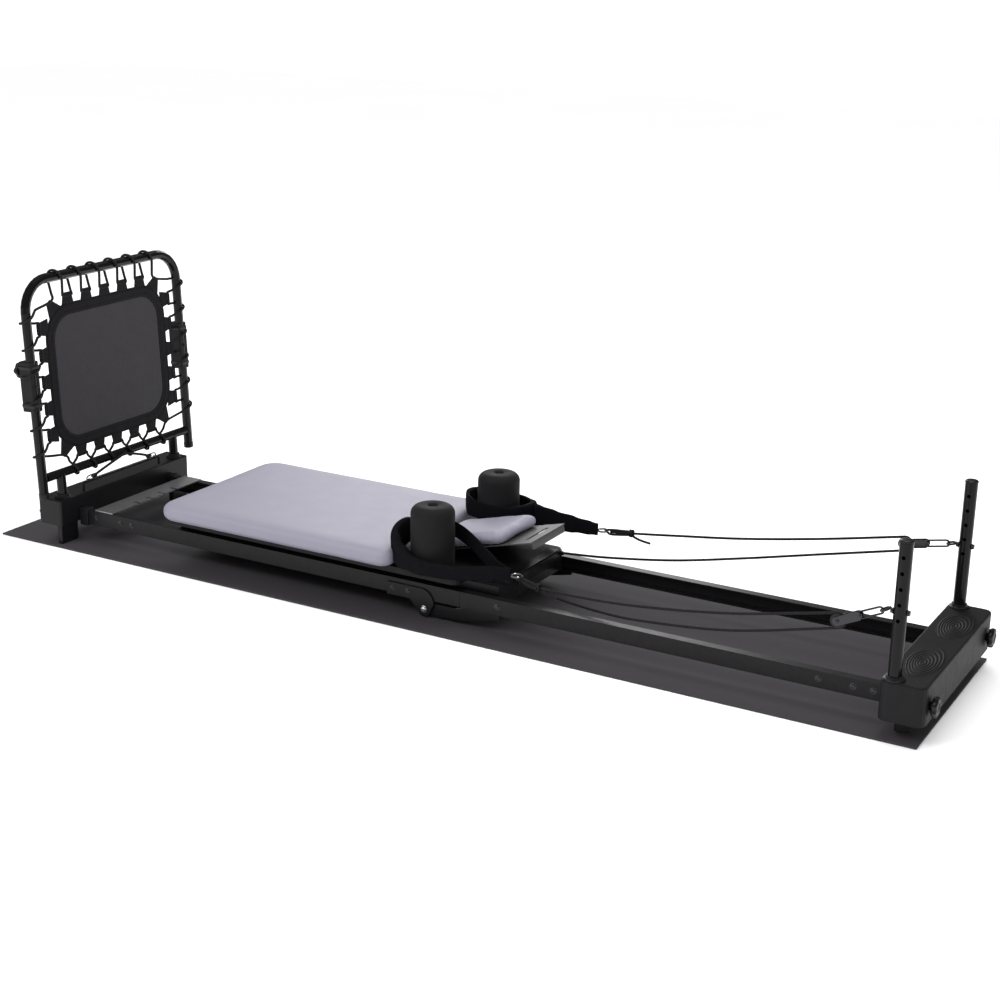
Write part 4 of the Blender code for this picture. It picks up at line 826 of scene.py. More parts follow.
@dataclass
class Rebounder:
    """The jumping panel, its border and tabs, and the cord laced round the tubes.

    Heights and widths are measured in the leaned plane, from the top of the foot box.
    """

    base_x: float = -1.120
    base_z: float = 0.123
    lean: float = math.radians(2.7)
    tube: float = 0.0125
    crossbar: float = 0.0115
    top: float = 0.693
    bar: float = 0.187
    half_spread: float = 0.288
    centre: float = 0.4305
    half_width: float = 0.228
    half_height: float = 0.1895
    window_width: float = 0.404
    window_height: float = 0.328
    window_corner: float = 0.070
    corner: float = 0.090
    pitch: float = 0.069
    wraps: int = 6
    cord: float = 0.0034
    tab_reach: float = 0.027
    tab_tip: float = 0.0150
    tab_root: float = 0.0225
    corner_tips: tuple[float, float] = (0.207, 0.202)
    clamp_low: float = 0.365
    clamp_high: float = 0.495

    def point(self, off: float | np.ndarray, y: float | np.ndarray, z: float | np.ndarray) -> np.ndarray:
        """A point off the leaned plane: the height above the box turns with the plane, as the CAD's does."""
        rise = np.asarray(z, float) - self.base_z
        x = self.base_x + off * math.cos(self.lean) - rise * math.sin(self.lean)
        high = self.base_z + off * math.sin(self.lean) + rise * math.cos(self.lean)
        return np.stack(np.broadcast_arrays(x, np.asarray(y, float), high), axis=-1)

    def plane(self, y: float = 0.0, z: float = 0.4305, off: float = 0.0) -> Place:
        """A place in the plane: right is far, up is up, out is to the carriage."""
        up = (-math.sin(self.lean), 0.0, math.cos(self.lean))
        return Place(tuple(self.point(off, y, z)), (0.0, 1.0, 0.0), up)

    def sides(self) -> list[tuple[np.ndarray, np.ndarray, float, float, float]]:
        """The four sides: direction along, direction out, panel edge, tube place and tube radius."""
        y, z = np.array((1.0, 0.0)), np.array((0.0, 1.0))
        return [(y, z, self.half_height, self.top - self.centre, self.tube),
                (-z, y, self.half_width, self.half_spread, self.tube),
                (-y, -z, self.half_height, self.centre - self.bar, self.crossbar),
                (z, -y, self.half_width, self.half_spread, self.tube)]

    def panel(self) -> None:
        """The woven window and the sewn band round it."""
        window = rounded_outline(self.window_width, self.window_height, self.window_corner, 10)
        mesh = Shape().slab(window, 0.0016, 0.0006, self.plane()).piece("rebounder_mesh", MESH, "rebounder")
        own = mesh.data.uv_layers[0]
        co = np.zeros(len(mesh.data.vertices) * 3)
        mesh.data.vertices.foreach_get("co", co)
        index = np.zeros(len(mesh.data.loops), int)
        mesh.data.loops.foreach_get("vertex_index", index)
        own.data.foreach_set("uv", co.reshape(-1, 3)[index][:, 1:].astype(np.float32).ravel())
        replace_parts(mesh, "rebounder_mat")
        a = np.linspace(0, 2 * math.pi, 20, endpoint=False)
        outer = rounded_outline(2 * self.half_width, 2 * self.half_height, self.corner, 12)
        inner = rounded_outline(self.window_width - 0.010, self.window_height - 0.010,
                                self.window_corner - 0.005, 12)
        share = (1 - np.cos(a)) / 2
        swell = 0.0026 * np.sign(np.sin(a)) * np.abs(np.sin(a)) ** 0.45
        rows = outer[None] * (1 - share)[:, None, None] + inner[None] * share[:, None, None]
        Shape().grid(self.plane().put(rows, swell[:, None]), closed=True).piece(
            "rebounder_border", BORDER, "rebounder")
        stitches = Shape()
        for inside in (0.0045, 0.0215):
            line = inset(outer, np.array([inside]))[0]
            for off in (0.0024, -0.0024):
                path = self.plane(off=off).put(line, 0.0)
                keep = path[np.linalg.norm(path - np.roll(path, 1, axis=0), axis=1) > 1e-5]
                stitches.sweep(spline([tuple(p) for p in keep], 0.006, closed=True), circle(0.0005, 6),
                               (1.0, 0.0, 0.0), closed=True)
        stitches.piece("rebounder_border_stitching", WEBBING, "rebounder")

    def tabs(self) -> None:
        """The tapered tabs that the cord pulls, five to a side and one to a corner."""
        shape = Shape()
        root, tip = self.tab_root, self.tab_tip
        for along, out, edge, _, _ in self.sides():
            for k in range(self.wraps - 1):
                s = (k - (self.wraps - 2) / 2) * self.pitch
                low, high = edge - 0.012, edge + self.tab_reach
                flat = [(s - root, low), (s - root * 0.9, edge), (s - tip, high - 0.003),
                        (s - tip * 0.8, high), (s + tip * 0.8, high), (s + tip, high - 0.003),
                        (s + root * 0.9, edge), (s + root, low)]
                self.tab(shape, np.array([along * u + out * v for u, v in flat]))
            spot = self.corner_tip(along + out)
            across = spot - (along + out) * (self.half_width - self.corner, self.half_height - self.corner)
            across /= np.linalg.norm(across)
            level = np.array((-across[1], across[0]))
            flat = [(-0.045, -0.028), (-0.030, -0.022), (-0.004, -0.0100), (0.0, -0.0070), (0.0, 0.0070),
                    (-0.004, 0.0100), (-0.030, 0.022), (-0.045, 0.028)]
            self.tab(shape, np.array([spot + across * u + level * v for u, v in flat]))
        shape.piece("rebounder_tabs", BORDER, "rebounder")

    def corner_tip(self, signs: np.ndarray) -> np.ndarray:
        """The tip of the corner tab in one quarter, from the panel's middle."""
        return signs * np.array(self.corner_tips)

    def tab(self, shape: Shape, outline: np.ndarray) -> None:
        """Add one tab from its outline about the panel's middle, turned left if it isn't."""
        turn = np.roll(outline, -1, axis=0)
        if (outline[:, 0] * turn[:, 1] - outline[:, 1] * turn[:, 0]).sum() < 0:
            outline = outline[::-1]
        shape.slab(outline, 0.0040, 0.0012, self.plane())

    def lacing(self) -> None:
        """The cord: out of a tab, behind the tube, over it at a slant and down to the next tab."""
        path = []
        for number, (along, out, edge, tube, radius) in enumerate(self.sides()):
            tip = edge + self.tab_reach
            path.append((0.0, *(self.corner_tip(out - along) * 0.985)))
            for k in range(self.wraps):
                s = (k - (self.wraps - 1) / 2) * self.pitch
                height = self.centre + (along * s + out * tube)[1]
                clamped = number % 2 and self.clamp_low - 0.012 < height < self.clamp_high + 0.012
                wide = 0.015 + self.cord + 0.0006 if clamped else radius + self.cord + 0.0004
                back = 0.028 + self.cord + 0.0008 if clamped else wide
                front = 0.012 + self.cord + 0.0008 if clamped else wide
                near = tube - wide * 0.75
                clear = min(tip + 0.003, near - 0.007)
                run = [(0.0012, s - 0.0185, tip - 0.008), (-0.003, s - 0.0172, clear),
                       (-back * 0.80, s - 0.0145, near + 0.001), (-back, s - 0.0130, tube),
                       (-back * 0.66, s - 0.0110, tube + wide * 0.74), (0.0, s - 0.0085, tube + wide),
                       (front * 0.70, s - 0.0040, tube + wide * 0.72), (front, s + 0.0015, tube),
                       (front * 0.78, s + 0.0080, near), (0.003, s + 0.0160, clear),
                       (0.0012, s + 0.0185, tip - 0.008)]
                if k < self.wraps - 1:
                    run.append((0.0, s + self.pitch / 2, tip - 0.010))
                path += [(off, *(along * u + out * v)) for off, u, v in run]
        flat = np.array(path)
        points = self.point(flat[:, 0], flat[:, 1], self.centre + flat[:, 2])
        route = spline([tuple(p) for p in points], 0.0045, closed=True)
        cord = Shape().sweep(route, circle(self.cord, 10), (1.0, 0.02, 0.03), closed=True)
        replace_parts(cord.piece("rebounder_cord", BRAID, "rebounder", 60.0), "rebounder_lacing")

    def hold_down(self) -> None:
        """The bungee over the crossbar and its two wire hooks on the low bar."""
        ends = {side: middle(f"hold_down_hook_{side.label}") for side in Side}
        near, far = ends[Side.NEAR], ends[Side.FAR]
        z0 = near[2]
        front = self.base_x + 0.017
        route = [(near[0], near[1] + 0.016, z0), (self.base_x + 0.012, -0.080, z0 + 0.012),
                 (front, -0.032, self.bar - 0.006), (front + 0.001, 0.0, self.bar + 0.001),
                 (front, 0.032, self.bar - 0.006), (self.base_x + 0.012, 0.080, z0 + 0.012),
                 (far[0], far[1] - 0.016, z0)]
        cord = Shape().sweep(spline(route, 0.004), circle(0.0034, 12), (1.0, 0.0, 0.0))
        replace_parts(cord.piece("hold_down_bungee", BRAID, "rebounder", 60.0), "hold_down_cord")
        for side, end in ends.items():
            s = -side.value
            bend = [(0.0, s * 0.017, 0.000), (0.0, s * 0.010, 0.0035), (0.0, s * 0.002, 0.0045),
                    (0.0, -s * 0.008, 0.0030), (0.0, -s * 0.0125, -0.0020), (0.0, -s * 0.0085, -0.0055),
                    (0.0, -s * 0.0030, -0.0040)]
            path = spline([tuple(end + np.array(p)) for p in bend], 0.0012)
            hook = Shape().sweep(path, circle(0.0017, 10), (1.0, 0.0, 0.0))
            sleeve = np.array([(0.0, 0), (0.0050, 0), (0.0056, 0.002), (0.0056, 0.012), (0.0048, 0.0145),
                               (0, 0.0145)])
            hook.turned(sleeve, (end[0], end[1] + s * 0.009, end[2] + 0.0005), (0, s, 0), 24)
            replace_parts(hook.piece(f"hold_down_wire_hook_{side.label}", KNOB_PLASTIC, "rebounder"),
                        f"hold_down_hook_{side.label}")

    def fittings(self) -> None:
        """The clamps' bands and screws, and the tubes' end caps."""
        for side in Side:
            y = side.value * self.half_spread
            shape = Shape()
            for z in (self.clamp_low + 0.016, self.clamp_high - 0.016):
                ring = rounded_outline(0.0335, 0.0435, 0.005)
                up = (-math.sin(self.lean), 0.0, math.cos(self.lean))
                right = (0.0, 1.0, 0.0)
                forward = tuple(np.cross(right, up))
                place = Place(tuple(self.point(-0.008, y, z)), right, tuple(-np.array(forward)))
                shape.slab(ring, 0.009, 0.0012, place)
            for z in (0.392, 0.430, 0.468):
                spot = self.point(0.012, y, z)
                shape.turned(bolt_profile(0.0040, 0.0030), tuple(spot), (1, 0, 0.047), 20)
            shape.piece(f"clamp_bands_{side.label}", KNOB_PLASTIC, "rebounder")
            end = self.point(0.0, y, 0.139)
            cap = np.array([(0, -0.004), (0.011, -0.004), (0.0133, -0.002), (0.0133, 0.010), (0.0128, 0.012),
                            (0, 0.012)])
            Shape().turned(cap, tuple(end), (-math.sin(self.lean), 0, math.cos(self.lean)), 32).piece(
                f"tube_cap_{side.label}", KNOB_PLASTIC, "rebounder")

    def build(self) -> None:
        """Make every piece of the rebounder."""
        repaint(GLOSS, "rebounder_frame", "rebounder_crossbar")
        repaint(MOULDED, "side_clamp_near", "side_clamp_far")
        self.panel()
        self.tabs()
        self.lacing()
        self.hold_down()
        self.fittings()
        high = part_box("star_knob")[1]
        spot = middle("star_knob")
        profile = knob_profile(0.0190, 0.0165)
        shape = Shape().turned(profile, (high.x - 0.0006, spot[1], spot[2]),
                               (-math.cos(self.lean), 0, -math.sin(self.lean)), 100, 5, 0.10)
        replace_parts(shape.piece("star_hand_knob", KNOB_PLASTIC, "star_knob", 45.0), "star_knob")


REBOUNDER = Rebounder()


@dataclass
class HeadBlock:
    """The tread block's two fields of raised rings, its riser collars and its hand knobs."""

    oval_length: float = 0.088
    oval_width: float = 0.037
    line_pitch: float = 0.0056

    def tread(self, side: Side) -> None:
        """One round field of rings: a flat grid raised where cos of a bent distance is high."""
        low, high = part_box("head_block")
        x0, y0 = (low.x + high.x) / 2 + 0.004, side.value * 0.115
        u = np.linspace(-1, 1, 150)
        v = np.linspace(-1, 1, 84)
        long, wide = np.meshgrid(u, v, indexing="ij")
        long, wide = long * np.sqrt(1 - wide**2 / 2), wide * np.sqrt(1 - long**2 / 2)
        y, x = long * self.oval_length, wide * self.oval_width
        warp = 0.30 * np.sin(2.2 * long + 0.6) + 0.18 * np.cos(3.1 * wide)
        distance = np.sqrt((long * 0.85 + 0.25 * warp) ** 2 + (wide + 0.22 * warp) ** 2) * self.oval_width
        ridge = np.clip(np.cos(2 * math.pi * distance / self.line_pitch) * 1.6, -0.6, 1.0)
        rim = np.clip((1 - np.sqrt(long**2 + wide**2)) * 12, 0, 1)
        z = high.z + 0.0002 + 0.0013 * rim * (0.45 + 0.55 * ridge)
        top = np.stack([x0 + x, y0 + y, z], axis=-1)
        rows, columns = top.shape[:2]
        mesh = bpy.data.meshes.new(f"tread_{side.label}")
        r, c = np.meshgrid(np.arange(rows - 1), np.arange(columns - 1), indexing="ij")
        quads = np.stack([r * columns + c, (r + 1) * columns + c, (r + 1) * columns + c + 1,
                          r * columns + c + 1], axis=-1).reshape(-1, 4)
        under = top.reshape(-1, 3).copy()
        under[:, 2] = high.z - 0.0012
        count = rows * columns
        ring = np.concatenate([np.arange(columns), np.arange(1, rows) * columns + columns - 1,
                               (rows - 1) * columns + np.arange(columns - 2, -1, -1),
                               np.arange(rows - 2, 0, -1) * columns])
        ahead = np.roll(ring, -1)
        walls = np.stack([ring, ahead, ahead + count, ring + count], axis=-1)
        faces = quads.tolist() + walls.tolist() + (quads[:, ::-1] + count).tolist()
        mesh.from_pydata(np.vstack([top.reshape(-1, 3), under]), [], faces)
        work = bmesh.new()
        work.from_mesh(mesh)
        bmesh.ops.recalc_face_normals(work, faces=work.faces)
        work.to_mesh(mesh)
        work.free()
        mesh.shade_smooth()
        made = bpy.data.objects.new(f"tread_{side.label}", mesh)
        bpy.context.scene.collection.objects.link(made)
        dress(made, MOULDED, "head_half")

    def build(self) -> None:
        """Dress the block and make the treads, the knobs and the riser collars."""
        repaint(MOULDED, "head_block")
        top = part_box("head_block")[1].z
        for side in Side:
            s = side.label
            self.tread(side)
            knob(f"riser_hand_knob_{s}", f"riser_knob_{s}", f"riser_knob_{s}", 1, 7)
            x, y, _ = middle(f"riser_{s}")
            r = 0.0146
            profile = np.array([(r, 0.0), (r + 0.0075, 0.0), (r + 0.0075, 0.0018), (r + 0.0035, 0.0036),
                                (r + 0.0022, 0.0080), (r, 0.0086), (r, 0.0)])
            Shape().turned(profile, (x, y, top + 0.0003), (0, 0, 1), 48).piece(
                f"riser_collar_{s}", KNOB_PLASTIC, "head_half")


@dataclass
class PulleyPost:
    """One riser with its cap and the pulley that hangs from it."""

    side: Side
    drop: float
    radius: float = 0.014
    eye_reach: float = 0.030
    sheave_distance: float = 0.105

    def spot(self, distance: float) -> np.ndarray:
        """A point on the pulley's chain, at a distance from the eye."""
        x, y, _ = middle(f"riser_{self.side.label}")
        return np.array((x - self.eye_reach - distance * math.cos(self.drop), y,
                         0.2695 - distance * math.sin(self.drop)))

    def build(self) -> None:
        """Dress the post, and make its cap, the pulley's cheeks and the washers."""
        s = self.side.label
        body = f"riser_{s}"
        repaint(GLOSS, f"riser_{s}")
        repaint(DARK_STEEL, f"eye_pin_{s}", f"quick_link_{s}")
        repaint(KNOB_PLASTIC, f"sheave_{s}")
        x, y, _ = middle(f"riser_{s}")
        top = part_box(f"riser_{s}")[1].z
        r = self.radius
        cap = np.array([(0, -0.001), (r + 0.0007, -0.001), (r + 0.0007, 0.0010), (r - 0.001, 0.0030),
                        (r * 0.6, 0.0042), (0, 0.0047)])
        Shape().turned(cap, (x, y, top), (0, 0, 1), 48).piece(f"riser_cap_{s}", KNOB_PLASTIC, body)
        along = np.array((math.cos(self.drop), 0.0, math.sin(self.drop)))
        up = np.array((-math.sin(self.drop), 0.0, math.cos(self.drop)))
        shape = Shape()
        start, end = 0.0505, 0.115
        centre = self.spot((start + end) / 2)
        outline = rounded_outline(end - start, 0.019, 0.0092, 10)
        for sign in (-1, 1):
            place = Place(tuple(centre + np.array((0.0, sign * 0.0062, 0.0))), tuple(along), tuple(up))
            shape.slab(outline, 0.0020, 0.0006, place)
            for distance, size in ((0.0545, 0.0030), (self.sheave_distance, 0.0042)):
                hub = self.spot(distance) + np.array((0.0, sign * 0.0072, 0.0))
                shape.turned(bolt_profile(size, 0.0024), tuple(hub), (0, sign, 0), 20)
        for distance, size in ((0.0545, 0.0020), (self.sheave_distance, 0.0024)):
            pin = np.array([(0, -0.0064), (size, -0.0064), (size, 0.0064), (0, 0.0064)])
            shape.turned(pin, tuple(self.spot(distance)), (0, 1, 0), 20)
        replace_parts(shape.piece(f"pulley_cheeks_{s}", DARK_STEEL, body), f"pulley_block_{s}")
        z = self.spot(0)[2]
        nut = Shape()
        for sign in (-1, 1):
            spot = (x + sign * (r + 0.0003), y, z)
            washer = np.array([(0.0034, 0), (0.0066, 0), (0.0066, 0.0011), (0.0055, 0.0012), (0.0055, 0.0052),
                               (0.0034, 0.0056), (0.0034, 0)])
            nut.turned(washer, spot, (sign, 0, 0), 6 if sign > 0 else 24)
        nut.piece(f"eye_nut_{s}", DARK_STEEL, body)


@dataclass
class Rope:
    """One rope: strap ring, pulley and back to the carriage, in three runs."""

    side: Side
    out_route: list[Point]
    back_route: list[Point]
    split: float = 0.930
    radius: float = 0.003
    wrap_radius: float = 0.0159
    travel: float = 0.62

    def centreline(self) -> tuple[np.ndarray, np.ndarray, np.ndarray]:
        """The rope's line, cut into its out, pulley and back runs where it passes the split."""
        x, y, z = middle(f"sheave_{self.side.label}")
        a = np.radians(np.linspace(100, -82, 19))
        wrap = np.stack([x + self.wrap_radius * np.cos(a), np.full(19, y),
                         z + self.wrap_radius * np.sin(a)], axis=1)
        out = spline([*self.out_route, tuple(wrap[0])], 0.012)
        back = spline([tuple(wrap[-1]), *self.back_route], 0.012)
        cut_out = self.cut(out)
        cut_back = self.cut(back[::-1])[::-1]
        first = np.vstack([out[out[:, 0] < self.split], cut_out])
        last = np.vstack([cut_back, back[(back[:, 0] < self.split)]])
        ahead = out[(out[:, 0] > self.split + 0.002)][:-1]
        after = back[(back[:, 0] > self.split + 0.002)][1:]
        return first, np.vstack([cut_out, ahead, wrap, after, cut_back]), last

    def cut(self, line: np.ndarray) -> np.ndarray:
        """The point at which a line that runs towards +X passes the split."""
        k = int(np.argmax(line[:, 0] > self.split))
        share = (self.split - line[k - 1, 0]) / (line[k, 0] - line[k - 1, 0])
        return (line[k - 1] + (line[k] - line[k - 1]) * share)[None]

    def tube(self, name: str, path: np.ndarray, body: str | None) -> bpy.types.Object:
        """A braided tube along a line."""
        shape = Shape().sweep(path, circle(self.radius, 12), (0.0, 1.0, 0.0))
        return shape.piece(name, BRAID, body, 60.0)

    def knot(self) -> bpy.types.Object:
        """The doubled end through the ring, the knot that ties it and the short tail, all on the carriage."""
        s = self.side.label
        ring = middle(f"strap_ring_{s}")
        start = np.array(self.out_route[0])
        tie = np.array(self.out_route[1])
        r = self.radius
        low = ring + np.array((0.008, 0.0, 0.0))
        loop = [tuple(tie + (0, 0, 0.0042)), tuple(start + (0.004, 0, 0.0058)),
                tuple(low + (0.003, -0.004, 0.0035)), tuple(low + (-0.001, 0, 0.0)),
                tuple(low + (0.003, 0.004, -0.0035)), tuple(start + (0.004, 0, -0.0058)),
                tuple(tie + (0, 0, -0.0042))]
        shape = Shape().sweep(spline(loop, 0.003), circle(r * 0.95, 10), (0.0, 1.0, 0.001))
        a = np.linspace(0, 4 * math.pi, 60, endpoint=False)
        coil = np.stack([tie[0] + 0.0035 * np.sin(a * 1.5), tie[1] + 0.0068 * np.cos(a),
                         tie[2] + 0.0068 * np.sin(a)], axis=1)
        shape.sweep(coil, circle(r, 10), (1.0, 0.0, 0.0), closed=True)
        tail = [tuple(tie + (0.004, 0.0, -0.006)), tuple(tie + (0.018, -0.002, -0.0105)),
                tuple(tie + (0.036, -0.003, -0.0135)), tuple(tie + (0.052, -0.004, -0.0150))]
        shape.sweep(spline(tail, 0.004), circle(r * 0.95, 10), (0.0, 1.0, 0.0))
        return shape.piece(f"rope_knot_{s}", BRAID, "carriage", 60.0)

    def build(self) -> None:
        """Make the three runs, the knot and the end on the deck."""
        s = self.side.label
        out, turn, back = self.centreline()
        knot = self.knot()
        first = self.tube(f"rope_out_{s}", out, "head_half")
        bend = self.tube(f"rope_turn_{s}", turn, None)
        last = self.tube(f"rope_back_{s}", back, "head_half")
        for made, far in ((first, out[0]), (last, back[-1])):
            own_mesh(made)
        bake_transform(bend)
        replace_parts(first, f"rope_{s}")
        end = back[-1]
        profile = np.array([(0, 0), (0.0040, 0), (0.0052, 0.002), (0.0052, 0.010), (0.0040, 0.013),
                            (0, 0.013)])
        Shape().turned(profile, (end[0] - 0.002, end[1], end[2]), (1, 0, 0), 24).piece(
            f"rope_gland_{s}", KNOB_PLASTIC, "carriage")


@dataclass
class Pad:
    """A padded, upholstered piece, blown up as cloth and then smoothed."""

    name: str
    node: str
    body: str
    outline: np.ndarray
    place: Place
    thickness: float
    edge: float
    shrink: float
    cap: float
    voxel: float
    floor: float

    def build(self) -> bpy.types.Object:
        """Make the pad: a closed slab, remeshed, blown up by pressure, its move capped, then smoothed.

        Returns:
            The finished pad.
        """
        outline = inset(self.outline, np.array([self.shrink]))[0]
        base = Shape().slab(outline, self.thickness - 2 * self.shrink, self.edge, self.place)
        made = base.piece(self.name, VINYL, None, 180.0)
        self.remesh(made)
        rest = self.coordinates(made)
        moved = self.blown(made, rest)
        step = moved - rest
        size = np.linalg.norm(step, axis=1, keepdims=True)
        step *= np.minimum(1.0, self.cap / np.maximum(size, 1e-9))
        moved = rest + step
        out = np.cross(self.place.right, self.place.up)
        height = (moved - np.array(self.place.middle)) @ out
        lift = np.maximum(0.0, self.floor - height)
        moved = moved + lift[:, None] * out
        made.data.vertices.foreach_set("co", moved.astype(np.float32).ravel())
        made.data.update()
        relax = made.modifiers.new("relax", "SMOOTH")
        relax.factor = 0.5
        relax.iterations = RELAX_STEPS
        smooth = made.modifiers.new("smooth", "SUBSURF")
        smooth.levels = 1
        smooth.render_levels = 1
        made.data.shade_smooth()
        dress(made, VINYL, self.body)
        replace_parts(made, self.node)
        return made

    def coordinates(self, made: bpy.types.Object) -> np.ndarray:
        """The mesh's points, n by 3."""
        co = np.zeros(len(made.data.vertices) * 3, np.float32)
        made.data.vertices.foreach_get("co", co)
        return co.reshape(-1, 3).astype(float)

    def baked(self, made: bpy.types.Object) -> None:
        """Put the modified mesh in place of the plain one."""
        graph = bpy.context.evaluated_depsgraph_get()
        mesh = bpy.data.meshes.new_from_object(made.evaluated_get(graph))
        made.modifiers.clear()
        made.data = mesh

    def remesh(self, made: bpy.types.Object) -> None:
        """Give the slab even square faces."""
        step = made.modifiers.new("even", "REMESH")
        step.mode = "VOXEL"
        step.voxel_size = self.voxel
        step.use_smooth_shade = True
        self.baked(made)

    def blown(self, made: bpy.types.Object, rest: np.ndarray) -> np.ndarray:
        """Where the points go as the cover fills out under pressure, without gravity.

        Args:
            made: The remeshed pad.
            rest: Its points before; not used.

        Returns:
            Its points after the last cloth frame.
        """
        cloth = made.modifiers.new("fill", "CLOTH")
        cloth.settings.use_pressure = True
        cloth.settings.uniform_pressure_force = FILL_PRESSURE
        cloth.settings.effector_weights.gravity = 0.0
        cloth.settings.quality = 5
        cloth.settings.tension_stiffness = COVER_STIFFNESS
        cloth.settings.compression_stiffness = COVER_STIFFNESS
        cloth.collision_settings.use_collision = False
        scene = bpy.context.scene
        for number in range(1, FILL_FRAMES + 1):
            scene.frame_set(number)
        graph = bpy.context.evaluated_depsgraph_get()
        mesh = made.evaluated_get(graph).to_mesh()
        co = np.zeros(len(mesh.vertices) * 3, np.float32)
        mesh.vertices.foreach_get("co", co)
        made.evaluated_get(graph).to_mesh_clear()
        made.modifiers.clear()
        scene.frame_set(1)
        return co.reshape(-1, 3).astype(float)


@dataclass
class ShoulderRest:
    """One foam cylinder, with a round top edge, and a dimple with a washer in it."""

    side: Side
    radius: float = 0.052
    edge: float = 0.020

    def build(self) -> None:
        """Turn the sleeve's profile and the washer's."""
        s = self.side.label
        low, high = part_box(f"shoulder_rest_{s}")
        x, y, _ = middle(f"shoulder_rest_{s}")
        r, top, e = self.radius, high.z, self.edge
        a = np.radians(np.linspace(0, 90, 12))
        rim = np.stack([r - e + e * np.cos(a), top - e + e * np.sin(a)], axis=1)
        profile = np.vstack([[(0, low.z), (r - 0.004, low.z), (r - 0.0008, low.z + 0.003), (r, low.z + 0.010),
                              (r + 0.0002, low.z + 0.060), (r, low.z + 0.110)], rim,
                             [(0.0145, top + 0.0002), (0.0120, top - 0.0010), (0.0095, top - 0.0040),
                              (0.0085, top - 0.0060), (0, top - 0.0062)]])
        sleeve = Shape().turned(profile, (x, y, 0.0), (0, 0, 1), 96)
        sleeve = sleeve.piece(f"foam_rest_{s}", FOAM, "carriage", 60.0)
        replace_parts(sleeve, f"shoulder_rest_{s}")
        washer = np.array([(0.0026, 0), (0.0078, 0), (0.0078, 0.0010), (0.0060, 0.0014), (0.0026, 0.0012),
                           (0.0026, 0.0)])
        Shape().turned(washer, (x, y, top - 0.0062), (0, 0, 1), 32).piece(
            f"rest_washer_{s}", RUBBER, "carriage")


@dataclass
class Strap:
    """One webbing loop round its rest: the near one's two ends meet its ring, the far one has a tail."""

    side: Side
    loop: list[tuple[float, float, float, float, float]]
    tail: list[tuple[float, float, float, float, float]]

    def band(self, shape: Shape, rows: list[tuple[float, float, float, float, float]], closed: bool) -> None:
        """Add a band from its rows of place, width and thickness, its width upright."""
        data = np.array(rows)
        route = spline([tuple(p) for p in data[:, :3]], 0.005, closed)
        knots = data[:, :3]
        nearest = np.linalg.norm(route[:, None] - knots[None], axis=2)
        weight = 1.0 / np.maximum(nearest, 1e-4) ** 3
        weight /= weight.sum(axis=1, keepdims=True)
        width, thick = weight @ data[:, 3], weight @ data[:, 4]
        unit = strap_section(1.0, 1.0, 28)
        ripple = 1 + 0.10 * np.clip(thick / 0.012 - 0.6, 0, 1) * np.sin(np.arange(len(route)) * 0.9)
        section = unit[None] * np.stack([width, thick * ripple], axis=1)[:, None]
        shape.sweep(route, section, (0.0, 0.0, 1.0), closed)

    def build(self) -> None:
        """Make the loop and, where there is one, its tail."""
        s = self.side.label
        repaint(CHROME, f"strap_ring_{s}")
        shape = Shape()
        self.band(shape, self.loop, not self.side.value < 0)
        if self.tail:
            self.band(shape, self.tail, False)
        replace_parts(shape.piece(f"strap_loop_{s}", WEBBING, "carriage", 60.0), f"strap_{s}")


